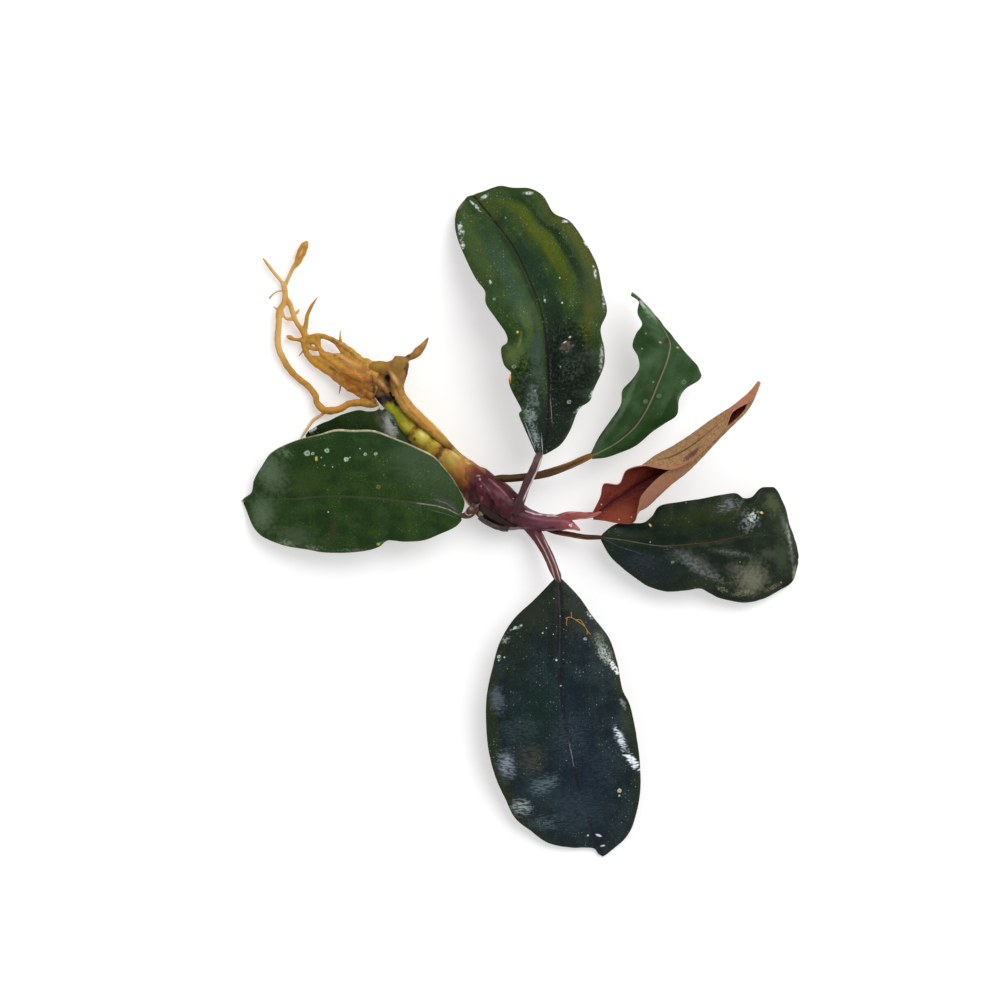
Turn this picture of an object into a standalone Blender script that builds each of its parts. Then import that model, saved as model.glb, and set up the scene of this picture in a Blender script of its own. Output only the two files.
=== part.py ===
"""A bucephalandra cutting lying on a flat surface, modelled in Blender.

The frame is +X to the right and +Y away from the viewer, seen from above, with +Z up.
The origin is on the surface, under the thick maroon crown of the rhizome.
Every point below is in millimetres and is scaled to metres when its mesh is made.
"""
import math

import bmesh
import bpy
from mathutils import Vector

MILLIMETRE = 0.001

# Driving dimensions
LEAF_THICKNESS = 0.5 * MILLIMETRE
YOUNG_LEAF_THICKNESS = 0.36 * MILLIMETRE
BRACT_THICKNESS = 0.35 * MILLIMETRE
STALK_SIDES = 8
ROOT_SIDES = 6
RHIZOME_SIDES = 14
RHIZOME_RINGS = 38
RESTING_HEIGHT = 0.0

# Spacing of a tube's rings in millimetres, and the fewest that a short tube has
SHEATH_RING_SPACING = 1.1
OLD_END_RING_SPACING = 0.9
STALK_RING_SPACING = 1.4
ROOT_RING_SPACING = 1.25
FEWEST_RINGS = 4

# Curve samples to each given point, and the angle in degrees from which an edge is sharp
SAMPLES_TO_A_POINT = 12
SHARP_ANGLE = 50.0

# Ripples of the rhizome's skin, as a share of its radius
SKIN_RIPPLE = 0.05
RIPPLES_AROUND = 3
RIPPLE_TWIST = 19.0
NODE_RING_RISE = 0.10
NODE_RING_WIDTH = 0.016
NODE_RING_PLACES = (0.30, 0.43, 0.55, 0.67)
OLD_END_SHARE = 0.24
OLD_END_LUMP = 0.11
OLD_END_LUMPS_AROUND = 4
OLD_END_TWIST = 60.0

# Blades: stations along, strips on each side of the midrib, and how high a half bulges
BLADE_GRIDS = {
    "leaf_top": (24, 4, 0.7),
    "leaf_bottom": (20, 4, 0.6),
    "leaf_left": (21, 4, 0.5),
    "leaf_under": (16, 3, 0.3),
    "leaf_right": (21, 4, 0.5),
    "leaf_upper_right": (20, 4, 0.4),
    "leaf_young": (24, 5, 0.0),
    "bract": (6, 2, 0.0),
}

# Colours and roughness of the materials
FINISHES = {
    "old_leaf": ((0.030, 0.065, 0.035, 1.0), 0.35),
    "fresh_leaf": ((0.050, 0.150, 0.055, 1.0), 0.35),
    "young_leaf": ((0.300, 0.130, 0.075, 1.0), 0.40),
    "stalk": ((0.160, 0.055, 0.050, 1.0), 0.45),
    "sheath": ((0.330, 0.070, 0.110, 1.0), 0.40),
    "rhizome": ((0.350, 0.260, 0.050, 1.0), 0.50),
    "old_wood": ((0.170, 0.085, 0.035, 1.0), 0.70),
    "root": ((0.560, 0.270, 0.060, 1.0), 0.55),
}

# Rhizome: x, y, height of the axis, radius
RHIZOME_ROUTE = (
    (-18.9, 20.9, 2.7, 1.2),
    (-18.2, 19.7, 2.6, 2.1),
    (-17.1, 17.4, 2.4, 2.25),
    (-15.6, 15.3, 2.1, 1.85),
    (-14.2, 13.2, 1.9, 1.55),
    (-12.4, 10.8, 1.9, 1.7),
    (-10.4, 9.0, 2.0, 1.95),
    (-8.3, 7.2, 2.0, 1.75),
    (-6.1, 5.4, 2.1, 2.05),
    (-3.5, 3.0, 2.3, 2.5),
    (-0.8, 0.5, 2.6, 3.0),
    (1.6, -1.3, 2.7, 3.0),
    (3.8, -2.7, 3.0, 2.4),
    (5.2, -3.3, 3.2, 1.6),
)

# Sheath round the growing tip, with its free point: x, y, height, radius
SHEATH_ROUTE = (
    (5.8, -3.45, 3.3, 1.7),
    (8.0, -4.0, 3.6, 1.4),
    (10.4, -4.1, 3.9, 1.2),
    (12.2, -4.2, 4.1, 1.05),
    (13.4, -4.8, 4.2, 0.6),
    (14.4, -5.3, 4.3, 0.2),
)

# Brown bract on the crown's lower side: its upper edge, middle and lower edge
BRACT_RAILS = (
    ((-1.5, -2.9, 4.8), (-0.3, -3.8, 4.9), (1.6, -4.6, 4.85), (3.1, -5.0, 4.75)),
    ((-1.9, -3.4, 2.65), (-0.7, -4.3, 2.7), (1.3, -5.2, 2.9), (2.8, -5.5, 3.1)),
    ((-1.6, -3.1, 0.75), (-0.4, -3.9, 0.8), (1.5, -4.8, 1.2), (3.05, -5.1, 1.65)),
)

# Stalks: x, y, height, radius
STALK_ROUTES = {
    "stalk_top": (
        (4.3, -1.0, 5.75, 0.8),
        (5.5, 1.7, 6.3, 0.75),
        (6.8, 4.4, 6.9, 0.65),
        (7.85, 6.4, 7.25, 0.5),
    ),
    "stalk_upper_right": (
        (0.6, 3.75, 3.6, 0.55),
        (1.9, 3.3, 3.75, 0.6),
        (4.0, 3.0, 3.8, 0.6),
        (8.0, 3.4, 3.9, 0.55),
        (10.4, 4.2, 4.3, 0.55),
        (12.8, 5.0, 4.8, 0.5),
        (15.9, 6.45, 5.7, 0.42),
    ),
    "stalk_young": (
        (13.2, -3.05, 4.75, 0.5),
        (14.8, -2.9, 4.8, 0.5),
        (15.9, -2.95, 4.8, 0.45),
    ),
    "stalk_right": (
        (10.6, -5.6, 2.6, 0.4),
        (12.8, -6.0, 3.2, 0.42),
        (15.2, -6.4, 3.8, 0.4),
        (17.2, -6.45, 4.15, 0.36),
    ),
    "stalk_bottom": (
        (7.1, -6.0, 2.7, 0.75),
        (8.7, -8.9, 3.8, 0.7),
        (10.0, -11.6, 4.7, 0.6),
        (10.75, -12.8, 5.1, 0.5),
    ),
    "stalk_left": (
        (-2.9, -2.7, 2.5, 0.45),
        (-3.4, -3.3, 3.7, 0.5),
        (-4.2, -3.2, 4.85, 0.4),
    ),
    "stalk_under": (
        (-5.25, 0.6, 2.3, 0.4),
        (-6.4, -0.1, 2.6, 0.42),
        (-7.4, -0.5, 2.8, 0.36),
    ),
}

# Remains of an old stalk and the spur beside it
OLD_STUMP_ROUTE = (
    (-14.2, 18.5, 3.9, 1.05),
    (-13.9, 20.6, 4.7, 1.25),
    (-13.5, 22.4, 5.2, 1.05),
    (-13.3, 23.0, 5.3, 0.7),
)
SPUR_ROUTE = (
    (-12.1, 22.8, 5.3, 0.5),
    (-11.2, 23.9, 5.6, 0.65),
    (-9.9, 25.3, 6.0, 0.2),
)

# Roots: x, y, height, radius
ROOT_ROUTES = {
    "root_side": (
        (-13.4, 16.2, 4.6, 0.8),
        (-12.3, 13.9, 4.2, 0.8),
        (-10.2, 11.9, 4.2, 0.8),
        (-8.2, 10.2, 4.2, 0.75),
        (-6.9, 8.7, 4.1, 0.6),
    ),
    "root_long": (
        (-18.9, 15.0, 2.5, 0.6),
        (-20.6, 14.8, 2.5, 0.6),
        (-22.4, 14.9, 2.3, 0.55),
        (-24.8, 14.1, 1.8, 0.6),
        (-26.4, 14.1, 1.4, 0.6),
        (-27.5, 15.2, 1.1, 0.5),
        (-29.1, 17.6, 0.8, 0.55),
        (-31.5, 19.7, 0.7, 0.5),
        (-33.3, 22.2, 0.8, 0.55),
        (-34.1, 25.1, 1.1, 0.5),
        (-33.9, 28.3, 1.3, 0.55),
        (-33.0, 31.5, 1.0, 0.5),
        (-32.9, 33.1, 0.8, 0.5),
        (-33.1, 34.0, 0.7, 0.45),
    ),
    "root_tip_left": (
        (-33.55, 34.65, 0.75, 0.3),
        (-34.9, 36.3, 0.9, 0.3),
        (-35.5, 37.1, 0.9, 0.3),
        (-36.5, 38.4, 0.6, 0.15),
    ),
    "root_tip_right": (
        (-32.65, 34.65, 0.75, 0.3),
        (-31.7, 36.6, 1.0, 0.4),
        (-30.9, 37.9, 1.2, 0.5),
        (-30.4, 39.2, 1.2, 0.75),
        (-29.8, 40.3, 1.0, 0.65),
        (-29.3, 41.0, 0.8, 0.25),
    ),
    "root_inner": (
        (-32.1, 31.0, 1.05, 0.36),
        (-31.3, 30.4, 1.3, 0.4),
        (-31.0, 29.4, 1.4, 0.42),
        (-30.6, 28.1, 1.4, 0.42),
        (-30.0, 26.8, 1.4, 0.45),
        (-29.9, 25.3, 1.3, 0.45),
        (-30.0, 24.3, 1.2, 0.4),
    ),
    "root_twig": (
        (-29.7, 28.5, 1.6, 0.33),
        (-28.5, 30.4, 2.2, 0.3),
        (-27.5, 32.0, 2.4, 0.14),
    ),
    "root_upper_strand": (
        (-19.6, 21.8, 2.8, 0.8),
        (-22.2, 22.9, 2.7, 0.85),
        (-24.0, 24.0, 2.4, 0.75),
        (-25.6, 24.7, 2.0, 0.65),
        (-27.2, 25.2, 1.7, 0.55),
        (-28.7, 25.1, 1.5, 0.4),
    ),
    "root_middle_strand": (
        (-20.6, 19.9, 2.7, 0.95),
        (-22.6, 20.4, 2.7, 0.9),
        (-24.0, 21.6, 2.4, 0.8),
        (-25.9, 22.3, 2.0, 0.7),
        (-27.5, 22.8, 1.6, 0.6),
        (-28.8, 23.6, 1.4, 0.45),
    ),
    "root_top_strand": (
        (-20.1, 18.2, 4.2, 0.55),
        (-22.2, 18.8, 3.95, 0.6),
        (-24.2, 19.8, 3.5, 0.55),
        (-25.8, 20.8, 2.95, 0.48),
        (-26.9, 21.5, 2.6, 0.35),
    ),
    "root_lower_strand": (
        (-20.1, 17.0, 2.3, 0.95),
        (-22.0, 17.2, 2.2, 0.95),
        (-23.4, 18.0, 1.8, 0.9),
        (-25.2, 19.5, 1.4, 0.85),
        (-27.2, 20.8, 1.1, 0.7),
        (-28.5, 21.8, 0.9, 0.55),
        (-29.4, 22.9, 0.8, 0.4),
    ),
    "rootlet_pale": (
        (-27.05, 13.2, 1.0, 0.28),
        (-28.3, 12.4, 0.7, 0.28),
        (-29.6, 10.7, 0.5, 0.26),
        (-30.4, 9.4, 0.4, 0.16),
    ),
}

# Blades: each rail runs from the leaf's base to its tip, as x, y, height.
# A half without a fold has two rails, its margin and the midrib.
TOP_LEFT_MARGIN = (
    (7.2, 7.1, 7.3), (5.6, 10.7, 8.6), (4.6, 13.1, 9.6), (5.0, 13.9, 9.2),
    (3.4, 17.1, 9.6), (3.0, 18.7, 10.0), (3.4, 19.8, 9.2), (2.2, 21.1, 10.2),
    (1.8, 23.5, 9.6), (2.7, 24.5, 8.6), (2.6, 25.9, 9.2), (1.0, 28.3, 9.0),
    (-0.6, 30.7, 8.6), (-0.8, 32.8, 7.6), (-2.2, 34.7, 7.0), (-3.8, 37.9, 5.6),
    (-5.1, 41.1, 3.9), (-5.6, 43.5, 2.6), (-5.3, 45.9, 1.5), (-3.7, 48.2, 0.5),
)
TOP_MIDRIB = (
    (8.0, 6.7, 7.3), (9.0, 9.9, 7.8), (9.3, 15.5, 8.6), (9.1, 21.9, 8.8),
    (8.2, 29.1, 8.0), (6.2, 34.7, 6.8), (3.8, 39.8, 4.9), (0.6, 44.3, 2.7),
    (-2.8, 48.5, 0.35),
)
TOP_RIGHT_MARGIN = (
    (8.8, 6.8, 7.3), (11.2, 8.3, 7.7), (12.8, 10.7, 8.3), (14.1, 13.9, 8.0),
    (16.0, 15.5, 9.3), (16.6, 17.4, 8.5), (18.1, 20.8, 9.2), (18.2, 23.5, 8.2),
    (17.6, 26.7, 8.8), (18.6, 29.6, 8.4), (17.8, 33.4, 7.6), (17.0, 37.1, 7.2),
    (14.9, 41.1, 6.0), (12.8, 44.0, 5.4), (10.2, 45.4, 4.2), (8.5, 48.2, 3.7),
    (6.4, 49.4, 2.7), (3.5, 49.6, 2.0), (1.3, 49.9, 1.2), (-1.7, 48.8, 0.5),
)
BOTTOM_LEFT_MARGIN = (
    (9.9, -13.5, 5.2), (7.0, -16.5, 5.4), (3.8, -19.5, 5.6), (1.6, -23.2, 5.3),
    (0.5, -26.9, 5.0), (-0.5, -31.7, 5.2), (-0.6, -36.5, 4.6), (-0.2, -40.5, 4.3),
    (0.8, -44.6, 3.6), (2.4, -48.2, 3.0), (4.0, -51.4, 2.3), (6.6, -53.6, 1.8),
    (9.3, -55.5, 1.3), (13.1, -56.3, 0.9), (16.5, -56.2, 0.6), (17.3, -57.2, 0.35),
)
BOTTOM_MIDRIB = (
    (11.0, -13.4, 5.2), (11.1, -16.5, 5.7), (10.9, -22.9, 6.3), (11.2, -30.1, 6.3),
    (12.5, -38.9, 5.4), (13.9, -45.3, 4.0), (15.7, -51.7, 2.3), (18.1, -57.8, 0.27),
)
BOTTOM_RIGHT_MARGIN = (
    (12.0, -13.7, 5.2), (14.4, -16.2, 5.2), (16.3, -19.0, 5.2), (18.9, -22.4, 5.4),
    (20.3, -26.4, 5.0), (21.1, -30.6, 5.2), (22.4, -33.4, 4.6), (23.4, -38.1, 4.4),
    (24.0, -42.9, 3.8), (24.0, -47.7, 3.0), (23.0, -52.3, 2.0), (21.6, -54.9, 1.1),
    (19.1, -57.1, 0.35),
)
LEFT_UPPER_MARGIN = (
    (-4.4, -2.2, 5.5), (-4.1, -1.3, 5.6), (-4.2, -0.3, 5.8), (-5.6, 2.4, 6.1),
    (-7.2, 4.6, 6.3), (-9.1, 6.6, 6.1), (-11.8, 8.0, 6.3), (-15.0, 9.3, 6.7),
    (-18.4, 10.6, 6.5), (-21.8, 10.7, 6.6), (-24.6, 10.8, 6.0), (-27.0, 10.1, 5.9),
    (-30.1, 9.3, 5.1), (-33.1, 8.2, 4.2), (-35.2, 6.9, 3.4), (-36.6, 4.8, 2.6),
    (-37.9, 2.6, 1.7), (-38.1, 0.8, 1.1), (-39.3, -0.1, 0.4),
)
LEFT_MIDRIB = (
    (-4.7, -2.8, 5.5), (-8.0, -1.4, 6.2), (-14.4, -0.6, 7.2), (-20.8, 0.0, 7.1),
    (-26.4, 0.1, 6.0), (-31.2, -0.3, 4.4), (-35.2, -0.4, 2.7), (-40.0, -0.6, 0.27),
)
LEFT_LOWER_MARGIN = (
    (-4.5, -3.7, 5.4), (-5.6, -4.8, 5.4), (-8.0, -5.9, 5.8), (-10.6, -6.9, 5.4),
    (-13.6, -7.1, 5.8), (-16.3, -6.9, 5.2), (-17.9, -8.0, 5.6), (-20.8, -8.7, 5.2),
    (-25.6, -8.9, 4.6), (-29.1, -8.4, 4.3), (-32.8, -7.8, 3.4), (-36.0, -6.6, 2.6),
    (-37.6, -5.3, 1.9), (-38.6, -3.4, 1.1), (-39.4, -1.2, 0.4),
)
UNDER_UPPER_MARGIN = (
    (-7.9, 0.0, 2.9), (-9.8, 3.0, 3.4), (-11.9, 6.0, 3.5), (-13.6, 8.6, 3.2),
    (-15.1, 10.9, 3.2), (-15.8, 12.4, 3.5), (-16.8, 13.8, 3.9), (-17.4, 14.4, 4.4),
    (-18.3, 13.8, 4.6), (-19.6, 13.7, 4.6), (-21.1, 13.9, 4.4), (-23.7, 13.2, 4.0),
    (-25.6, 12.3, 3.5), (-27.2, 11.7, 2.9), (-29.1, 10.6, 1.9),
)
UNDER_MIDRIB = (
    (-8.1, -0.6, 2.9), (-11.5, 1.6, 3.3), (-16.0, 5.4, 3.9), (-20.5, 8.4, 3.9),
    (-25.0, 9.8, 3.0), (-29.6, 10.0, 1.6),
)
UNDER_LOWER_MARGIN = (
    (-8.2, -1.3, 2.8), (-11.0, -1.8, 3.0), (-15.0, -0.6, 3.2), (-19.5, 2.0, 3.2),
    (-23.5, 5.0, 2.8), (-27.0, 8.0, 2.0), (-29.5, 9.4, 1.5),
)
UPPER_RIGHT_LEFT_MARGIN = (
    (16.0, 7.3, 5.9), (17.6, 9.8, 6.6), (19.2, 12.2, 7.4), (20.8, 14.7, 8.2),
    (21.1, 17.0, 8.0), (22.6, 18.7, 8.8), (23.7, 20.5, 9.2), (23.5, 22.4, 8.6),
    (22.7, 24.0, 8.0), (23.2, 25.9, 8.4), (24.2, 27.5, 8.4), (23.5, 29.3, 7.2),
    (23.7, 31.2, 6.4), (22.5, 32.2, 5.4),
)
UPPER_RIGHT_MIDRIB = (
    (16.2, 6.6, 5.7), (17.6, 7.2, 6.0), (20.0, 8.5, 6.4), (22.4, 10.4, 6.8),
    (24.0, 12.3, 7.1), (25.6, 15.2, 7.4), (26.7, 17.9, 7.6), (27.8, 20.6, 7.8),
    (28.6, 23.2, 7.8), (28.6, 24.8, 7.8), (27.6, 26.9, 7.7), (25.8, 29.1, 7.0),
    (24.1, 31.4, 6.1), (22.7, 32.7, 5.2),
)
UPPER_RIGHT_FOLD = (
    (16.6, 6.3, 5.7), (19.5, 7.5, 6.3), (22.1, 8.8, 6.9), (24.8, 11.0, 7.3),
    (27.2, 13.6, 7.5), (29.1, 16.2, 7.3), (31.0, 18.7, 6.9), (32.6, 21.0, 6.4),
    (31.4, 23.0, 6.9), (29.8, 25.0, 7.2), (28.5, 26.6, 7.2), (26.6, 29.0, 6.5),
    (24.7, 31.1, 5.7), (23.2, 32.5, 5.0),
)
UPPER_RIGHT_RIGHT_MARGIN = (
    (17.0, 6.0, 5.6), (18.4, 6.4, 5.8), (20.5, 7.0, 6.0), (23.4, 8.3, 6.6),
    (25.6, 10.2, 6.8), (27.8, 11.7, 6.4), (29.8, 13.1, 6.8), (30.1, 15.5, 6.4),
    (31.2, 17.3, 6.2), (33.4, 18.7, 5.6), (33.6, 19.9, 5.1), (31.9, 21.5, 4.9),
    (30.2, 23.3, 4.8), (28.4, 25.3, 4.8), (26.6, 27.7, 4.7), (24.8, 30.1, 4.5),
    (23.5, 32.0, 4.6),
)
RIGHT_UPPER_MARGIN = (
    (18.1, -5.8, 4.2), (19.8, -4.5, 4.0), (21.6, -4.1, 3.8), (24.5, -4.2, 3.8),
    (25.9, -3.2, 4.2), (27.2, -1.4, 4.8), (30.4, -0.8, 5.0), (33.6, -0.3, 5.2),
    (36.8, 0.3, 5.5), (39.2, 0.6, 5.0), (40.5, -0.2, 4.4), (41.9, 0.0, 4.7),
    (43.2, 1.4, 5.0), (44.5, 1.6, 4.4), (45.6, 1.4, 3.8), (46.6, -0.2, 3.0),
    (47.4, -2.1, 2.3), (48.0, -4.5, 1.7), (49.0, -7.2, 1.1), (49.6, -9.5, 0.5),
)
RIGHT_MIDRIB = (
    (17.6, -6.4, 4.2), (21.6, -6.9, 4.6), (24.8, -7.5, 5.0), (28.0, -7.8, 5.3),
    (32.0, -7.5, 5.5), (35.2, -7.2, 5.4), (38.4, -6.6, 5.1), (41.9, -5.8, 4.5),
    (45.2, -5.9, 3.4), (47.6, -7.4, 2.1), (49.5, -10.2, 0.3),
)
RIGHT_LOWER_MARGIN = (
    (17.9, -7.2, 4.1), (19.2, -9.4, 3.8), (20.8, -11.0, 3.6), (24.0, -13.5, 3.2),
    (25.6, -14.4, 3.0), (28.5, -15.1, 3.2), (31.4, -14.9, 3.8), (33.6, -14.6, 3.6),
    (35.2, -15.4, 3.0), (37.1, -16.3, 2.6), (40.8, -16.9, 2.2), (43.8, -16.3, 1.6),
    (46.4, -15.0, 1.2), (48.5, -13.6, 0.8), (49.4, -11.0, 0.35),
)

# Rolled young leaf: all five rails have a point at each station along the roll
YOUNG_LEFT_MARGIN = (
    (16.4, -2.5, 5.0), (17.6, 0.0, 5.6), (18.2, 2.1, 6.4), (20.6, 2.1, 6.6),
    (21.8, 4.3, 7.6), (24.6, 5.0, 9.0), (26.6, 4.6, 9.7), (29.1, 4.4, 10.2),
    (32.0, 5.8, 10.8), (34.7, 8.2, 11.3), (37.0, 10.6, 11.6), (37.9, 13.1, 11.7),
    (40.2, 14.2, 11.9), (42.3, 17.6, 12.1),
)
YOUNG_LEFT_FOLD = (
    (16.4, -2.8, 4.8), (17.9, -0.8, 5.1), (18.9, 0.9, 5.5), (20.9, 1.5, 5.7),
    (22.4, 3.3, 6.4), (24.3, 4.9, 7.4), (26.4, 6.6, 7.9), (29.0, 8.0, 8.6),
    (32.0, 9.9, 9.3), (34.6, 11.8, 9.9), (36.5, 13.4, 10.4), (38.6, 14.7, 10.9),
    (40.5, 15.7, 11.2), (42.2, 17.9, 11.7),
)
YOUNG_MIDRIB = (
    (16.5, -3.05, 4.7), (18.1, -1.8, 4.8), (19.7, -0.6, 4.9), (21.6, 0.6, 5.1),
    (23.4, 1.8, 5.3), (25.3, 2.9, 5.6), (27.4, 4.0, 6.0), (30.1, 5.9, 6.6),
    (32.6, 8.0, 7.4), (34.9, 10.2, 8.2), (37.1, 12.0, 9.2), (39.5, 13.9, 10.1),
    (41.1, 15.2, 10.7), (42.6, 18.2, 11.5),
)
YOUNG_RIGHT_FOLD = (
    (16.5, -3.3, 4.8), (18.2, -2.8, 4.8), (20.2, -2.4, 5.0), (22.6, -1.8, 5.3),
    (24.8, -1.6, 5.9), (26.9, 0.2, 6.7), (29.1, 2.2, 7.4), (31.4, 4.0, 8.1),
    (33.8, 6.4, 8.8), (35.8, 8.6, 9.5), (38.2, 11.7, 10.2), (40.3, 13.8, 10.8),
    (41.6, 15.5, 11.2), (43.0, 18.0, 11.7),
)
YOUNG_RIGHT_MARGIN = (
    (16.5, -3.6, 5.0), (18.2, -3.8, 5.0), (20.5, -4.2, 5.3), (23.0, -4.0, 5.6),
    (23.7, -1.4, 7.2), (24.2, 0.3, 8.1), (26.6, 2.9, 8.7), (29.2, 4.8, 9.1),
    (32.2, 7.1, 9.7), (34.5, 9.4, 10.2), (37.4, 12.0, 10.6), (39.8, 14.2, 11.1),
    (41.4, 15.4, 11.5), (43.1, 17.7, 12.1),
)


def clear_scene():
    for old_object in list(bpy.data.objects):
        bpy.data.objects.remove(old_object, do_unlink=True)


def make_materials():
    materials = {}
    for name, (colour, roughness) in FINISHES.items():
        material = bpy.data.materials.new(name)
        material.use_nodes = True
        shader = material.node_tree.nodes["Principled BSDF"]
        shader.inputs["Base Color"].default_value = colour
        shader.inputs["Roughness"].default_value = roughness
        shader.inputs["Metallic"].default_value = 0.0
        material.diffuse_color = colour
        materials[name] = material
    return materials


def curve_value(points, position):
    """Return the point of a smooth curve through the points, at a position in spans."""
    last = len(points) - 1
    start = min(int(position), last - 1)
    share = position - start
    before = Vector(points[max(start - 1, 0)])
    here = Vector(points[start])
    there = Vector(points[start + 1])
    after = Vector(points[min(start + 2, last)])
    leave = (there - before) * 0.5
    arrive = (after - here) * 0.5
    change = there - here
    bend = change * 3.0 - leave * 2.0 - arrive
    twist = leave + arrive - change * 2.0
    return here + leave * share + bend * share ** 2 + twist * share ** 3


def curve_by_station(points, count):
    """Sample a smooth curve at evenly spaced stations between its own points."""
    spans = len(points) - 1
    return [curve_value(points, spans * step / (count - 1)) for step in range(count)]


def curve_by_length(points, count):
    """Sample a smooth curve so that the samples are evenly spaced along it."""
    fine_count = SAMPLES_TO_A_POINT * len(points)
    fine = curve_by_station(points, fine_count)
    lengths = [0.0]
    for first, second in zip(fine, fine[1:]):
        step = Vector(second[:3]) - Vector(first[:3])
        lengths.append(lengths[-1] + step.length)
    samples = []
    place = 0
    for step in range(count):
        wanted = lengths[-1] * step / (count - 1)
        while place < fine_count - 2 and lengths[place + 1] < wanted:
            place += 1
        share = (wanted - lengths[place]) / (lengths[place + 1] - lengths[place])
        samples.append(fine[place].lerp(fine[place + 1], min(share, 1.0)))
    return samples


def add_mesh_object(name, shape, material):
    """Turn a bmesh in millimetres into a named object in metres."""
    bmesh.ops.scale(shape, vec=(MILLIMETRE,) * 3, verts=shape.verts)
    bmesh.ops.recalc_face_normals(shape, faces=shape.faces)
    mesh = bpy.data.meshes.new(name)
    shape.to_mesh(mesh)
    shape.free()
    mesh.materials.append(material)
    mesh.shade_smooth()
    mesh.set_sharp_from_angle(angle=math.radians(SHARP_ANGLE))
    piece = bpy.data.objects.new(name, mesh)
    bpy.context.scene.collection.objects.link(piece)
    return piece


def tube_shape(route, rings, sides, swelling=None):
    """Build a closed round tube along a route of x, y, height and radius."""
    samples = curve_by_length(route, rings)
    centres = [Vector(sample[:3]) for sample in samples]
    radii = [sample[3] for sample in samples]
    shape = bmesh.new()
    loops = []
    across = Vector((0.0, 0.0, 1.0))
    for index, centre in enumerate(centres):
        ahead = centres[min(index + 1, rings - 1)] - centres[max(index - 1, 0)]
        ahead.normalize()
        across = (across - ahead * across.dot(ahead)).normalized()
        beside = ahead.cross(across)
        loop = []
        for side in range(sides):
            angle = math.tau * side / sides
            reach = radii[index]
            if swelling:
                reach *= swelling(index / (rings - 1), angle)
            outward = across * math.cos(angle) + beside * math.sin(angle)
            loop.append(shape.verts.new(centre + outward * reach))
        loops.append(loop)
    for lower, upper in zip(loops, loops[1:]):
        for side in range(sides):
            following = (side + 1) % sides
            shape.faces.new((lower[side], lower[following], upper[following], upper[side]))
    shape.faces.new(loops[0])
    shape.faces.new(reversed(loops[-1]))
    return shape


def make_tube(name, route, material, sides, spacing):
    """Add a tube whose rings are about one spacing apart."""
    length = 0.0
    for first, second in zip(route, route[1:]):
        length += (Vector(second[:3]) - Vector(first[:3])).length
    rings = max(FEWEST_RINGS, round(length / spacing) + 1)
    return add_mesh_object(name, tube_shape(route, rings, sides), material)


def rhizome_swelling(along, angle):
    """Return the rhizome's radius factor: skin ripple, node rings and the lumpy old end."""
    factor = 1.0 + SKIN_RIPPLE * math.sin(RIPPLES_AROUND * angle + RIPPLE_TWIST * along)
    for place in NODE_RING_PLACES:
        factor += NODE_RING_RISE * math.exp(-((along - place) / NODE_RING_WIDTH) ** 2)
    if along < OLD_END_SHARE:
        fade = 1.0 - along / OLD_END_SHARE
        lump = math.sin(OLD_END_LUMPS_AROUND * angle + OLD_END_TWIST * along)
        factor += OLD_END_LUMP * fade * lump
    return factor


def make_rhizome(material):
    """Add the rhizome, with its underside flat where it rests."""
    shape = tube_shape(RHIZOME_ROUTE, RHIZOME_RINGS, RHIZOME_SIDES, rhizome_swelling)
    everything = shape.verts[:] + shape.edges[:] + shape.faces[:]
    cut = bmesh.ops.bisect_plane(
        shape,
        geom=everything,
        plane_co=(0.0, 0.0, RESTING_HEIGHT),
        plane_no=(0.0, 0.0, -1.0),
        clear_outer=True,
    )
    cut_edges = [item for item in cut["geom_cut"] if isinstance(item, bmesh.types.BMEdge)]
    bmesh.ops.contextual_create(shape, geom=cut_edges)
    return add_mesh_object("rhizome", shape, material)


def half_across(points, share, camber):
    """Return the point of a leaf half, from its first rail to its last."""
    if len(points) == 2:
        place = points[0].lerp(points[1], share)
        place.z += camber * 4.0 * share * (1.0 - share)
        return place
    return curve_value(points, share * (len(points) - 1))


def make_blade(name, rails, midrib, material, thickness=LEAF_THICKNESS, sampler=curve_by_length):
    """Add a thin leaf lofted through rails that run from its base to its tip.

    midrib is the place of the midrib among the rails.
    """
    stations, columns, camber = BLADE_GRIDS[name]
    sampled = [sampler(rail, stations) for rail in rails]
    shape = bmesh.new()
    rows = []
    for index in range(stations):
        row = [rail[index] for rail in sampled]
        first_half = row[:midrib + 1]
        second_half = row[midrib:]
        bulge = camber * math.sin(math.pi * index / (stations - 1))
        places = [half_across(first_half, step / columns, bulge) for step in range(columns)]
        places += [half_across(second_half, step / columns, bulge) for step in range(columns + 1)]
        rows.append([shape.verts.new(place) for place in places])
    for lower, upper in zip(rows, rows[1:]):
        for column in range(2 * columns):
            corners = (lower[column], lower[column + 1], upper[column + 1], upper[column])
            shape.faces.new(corners)
    leaf = add_mesh_object(name, shape, material)
    solidify = leaf.modifiers.new("thickness", "SOLIDIFY")
    solidify.thickness = thickness
    solidify.offset = 0.0
    return leaf


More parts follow.
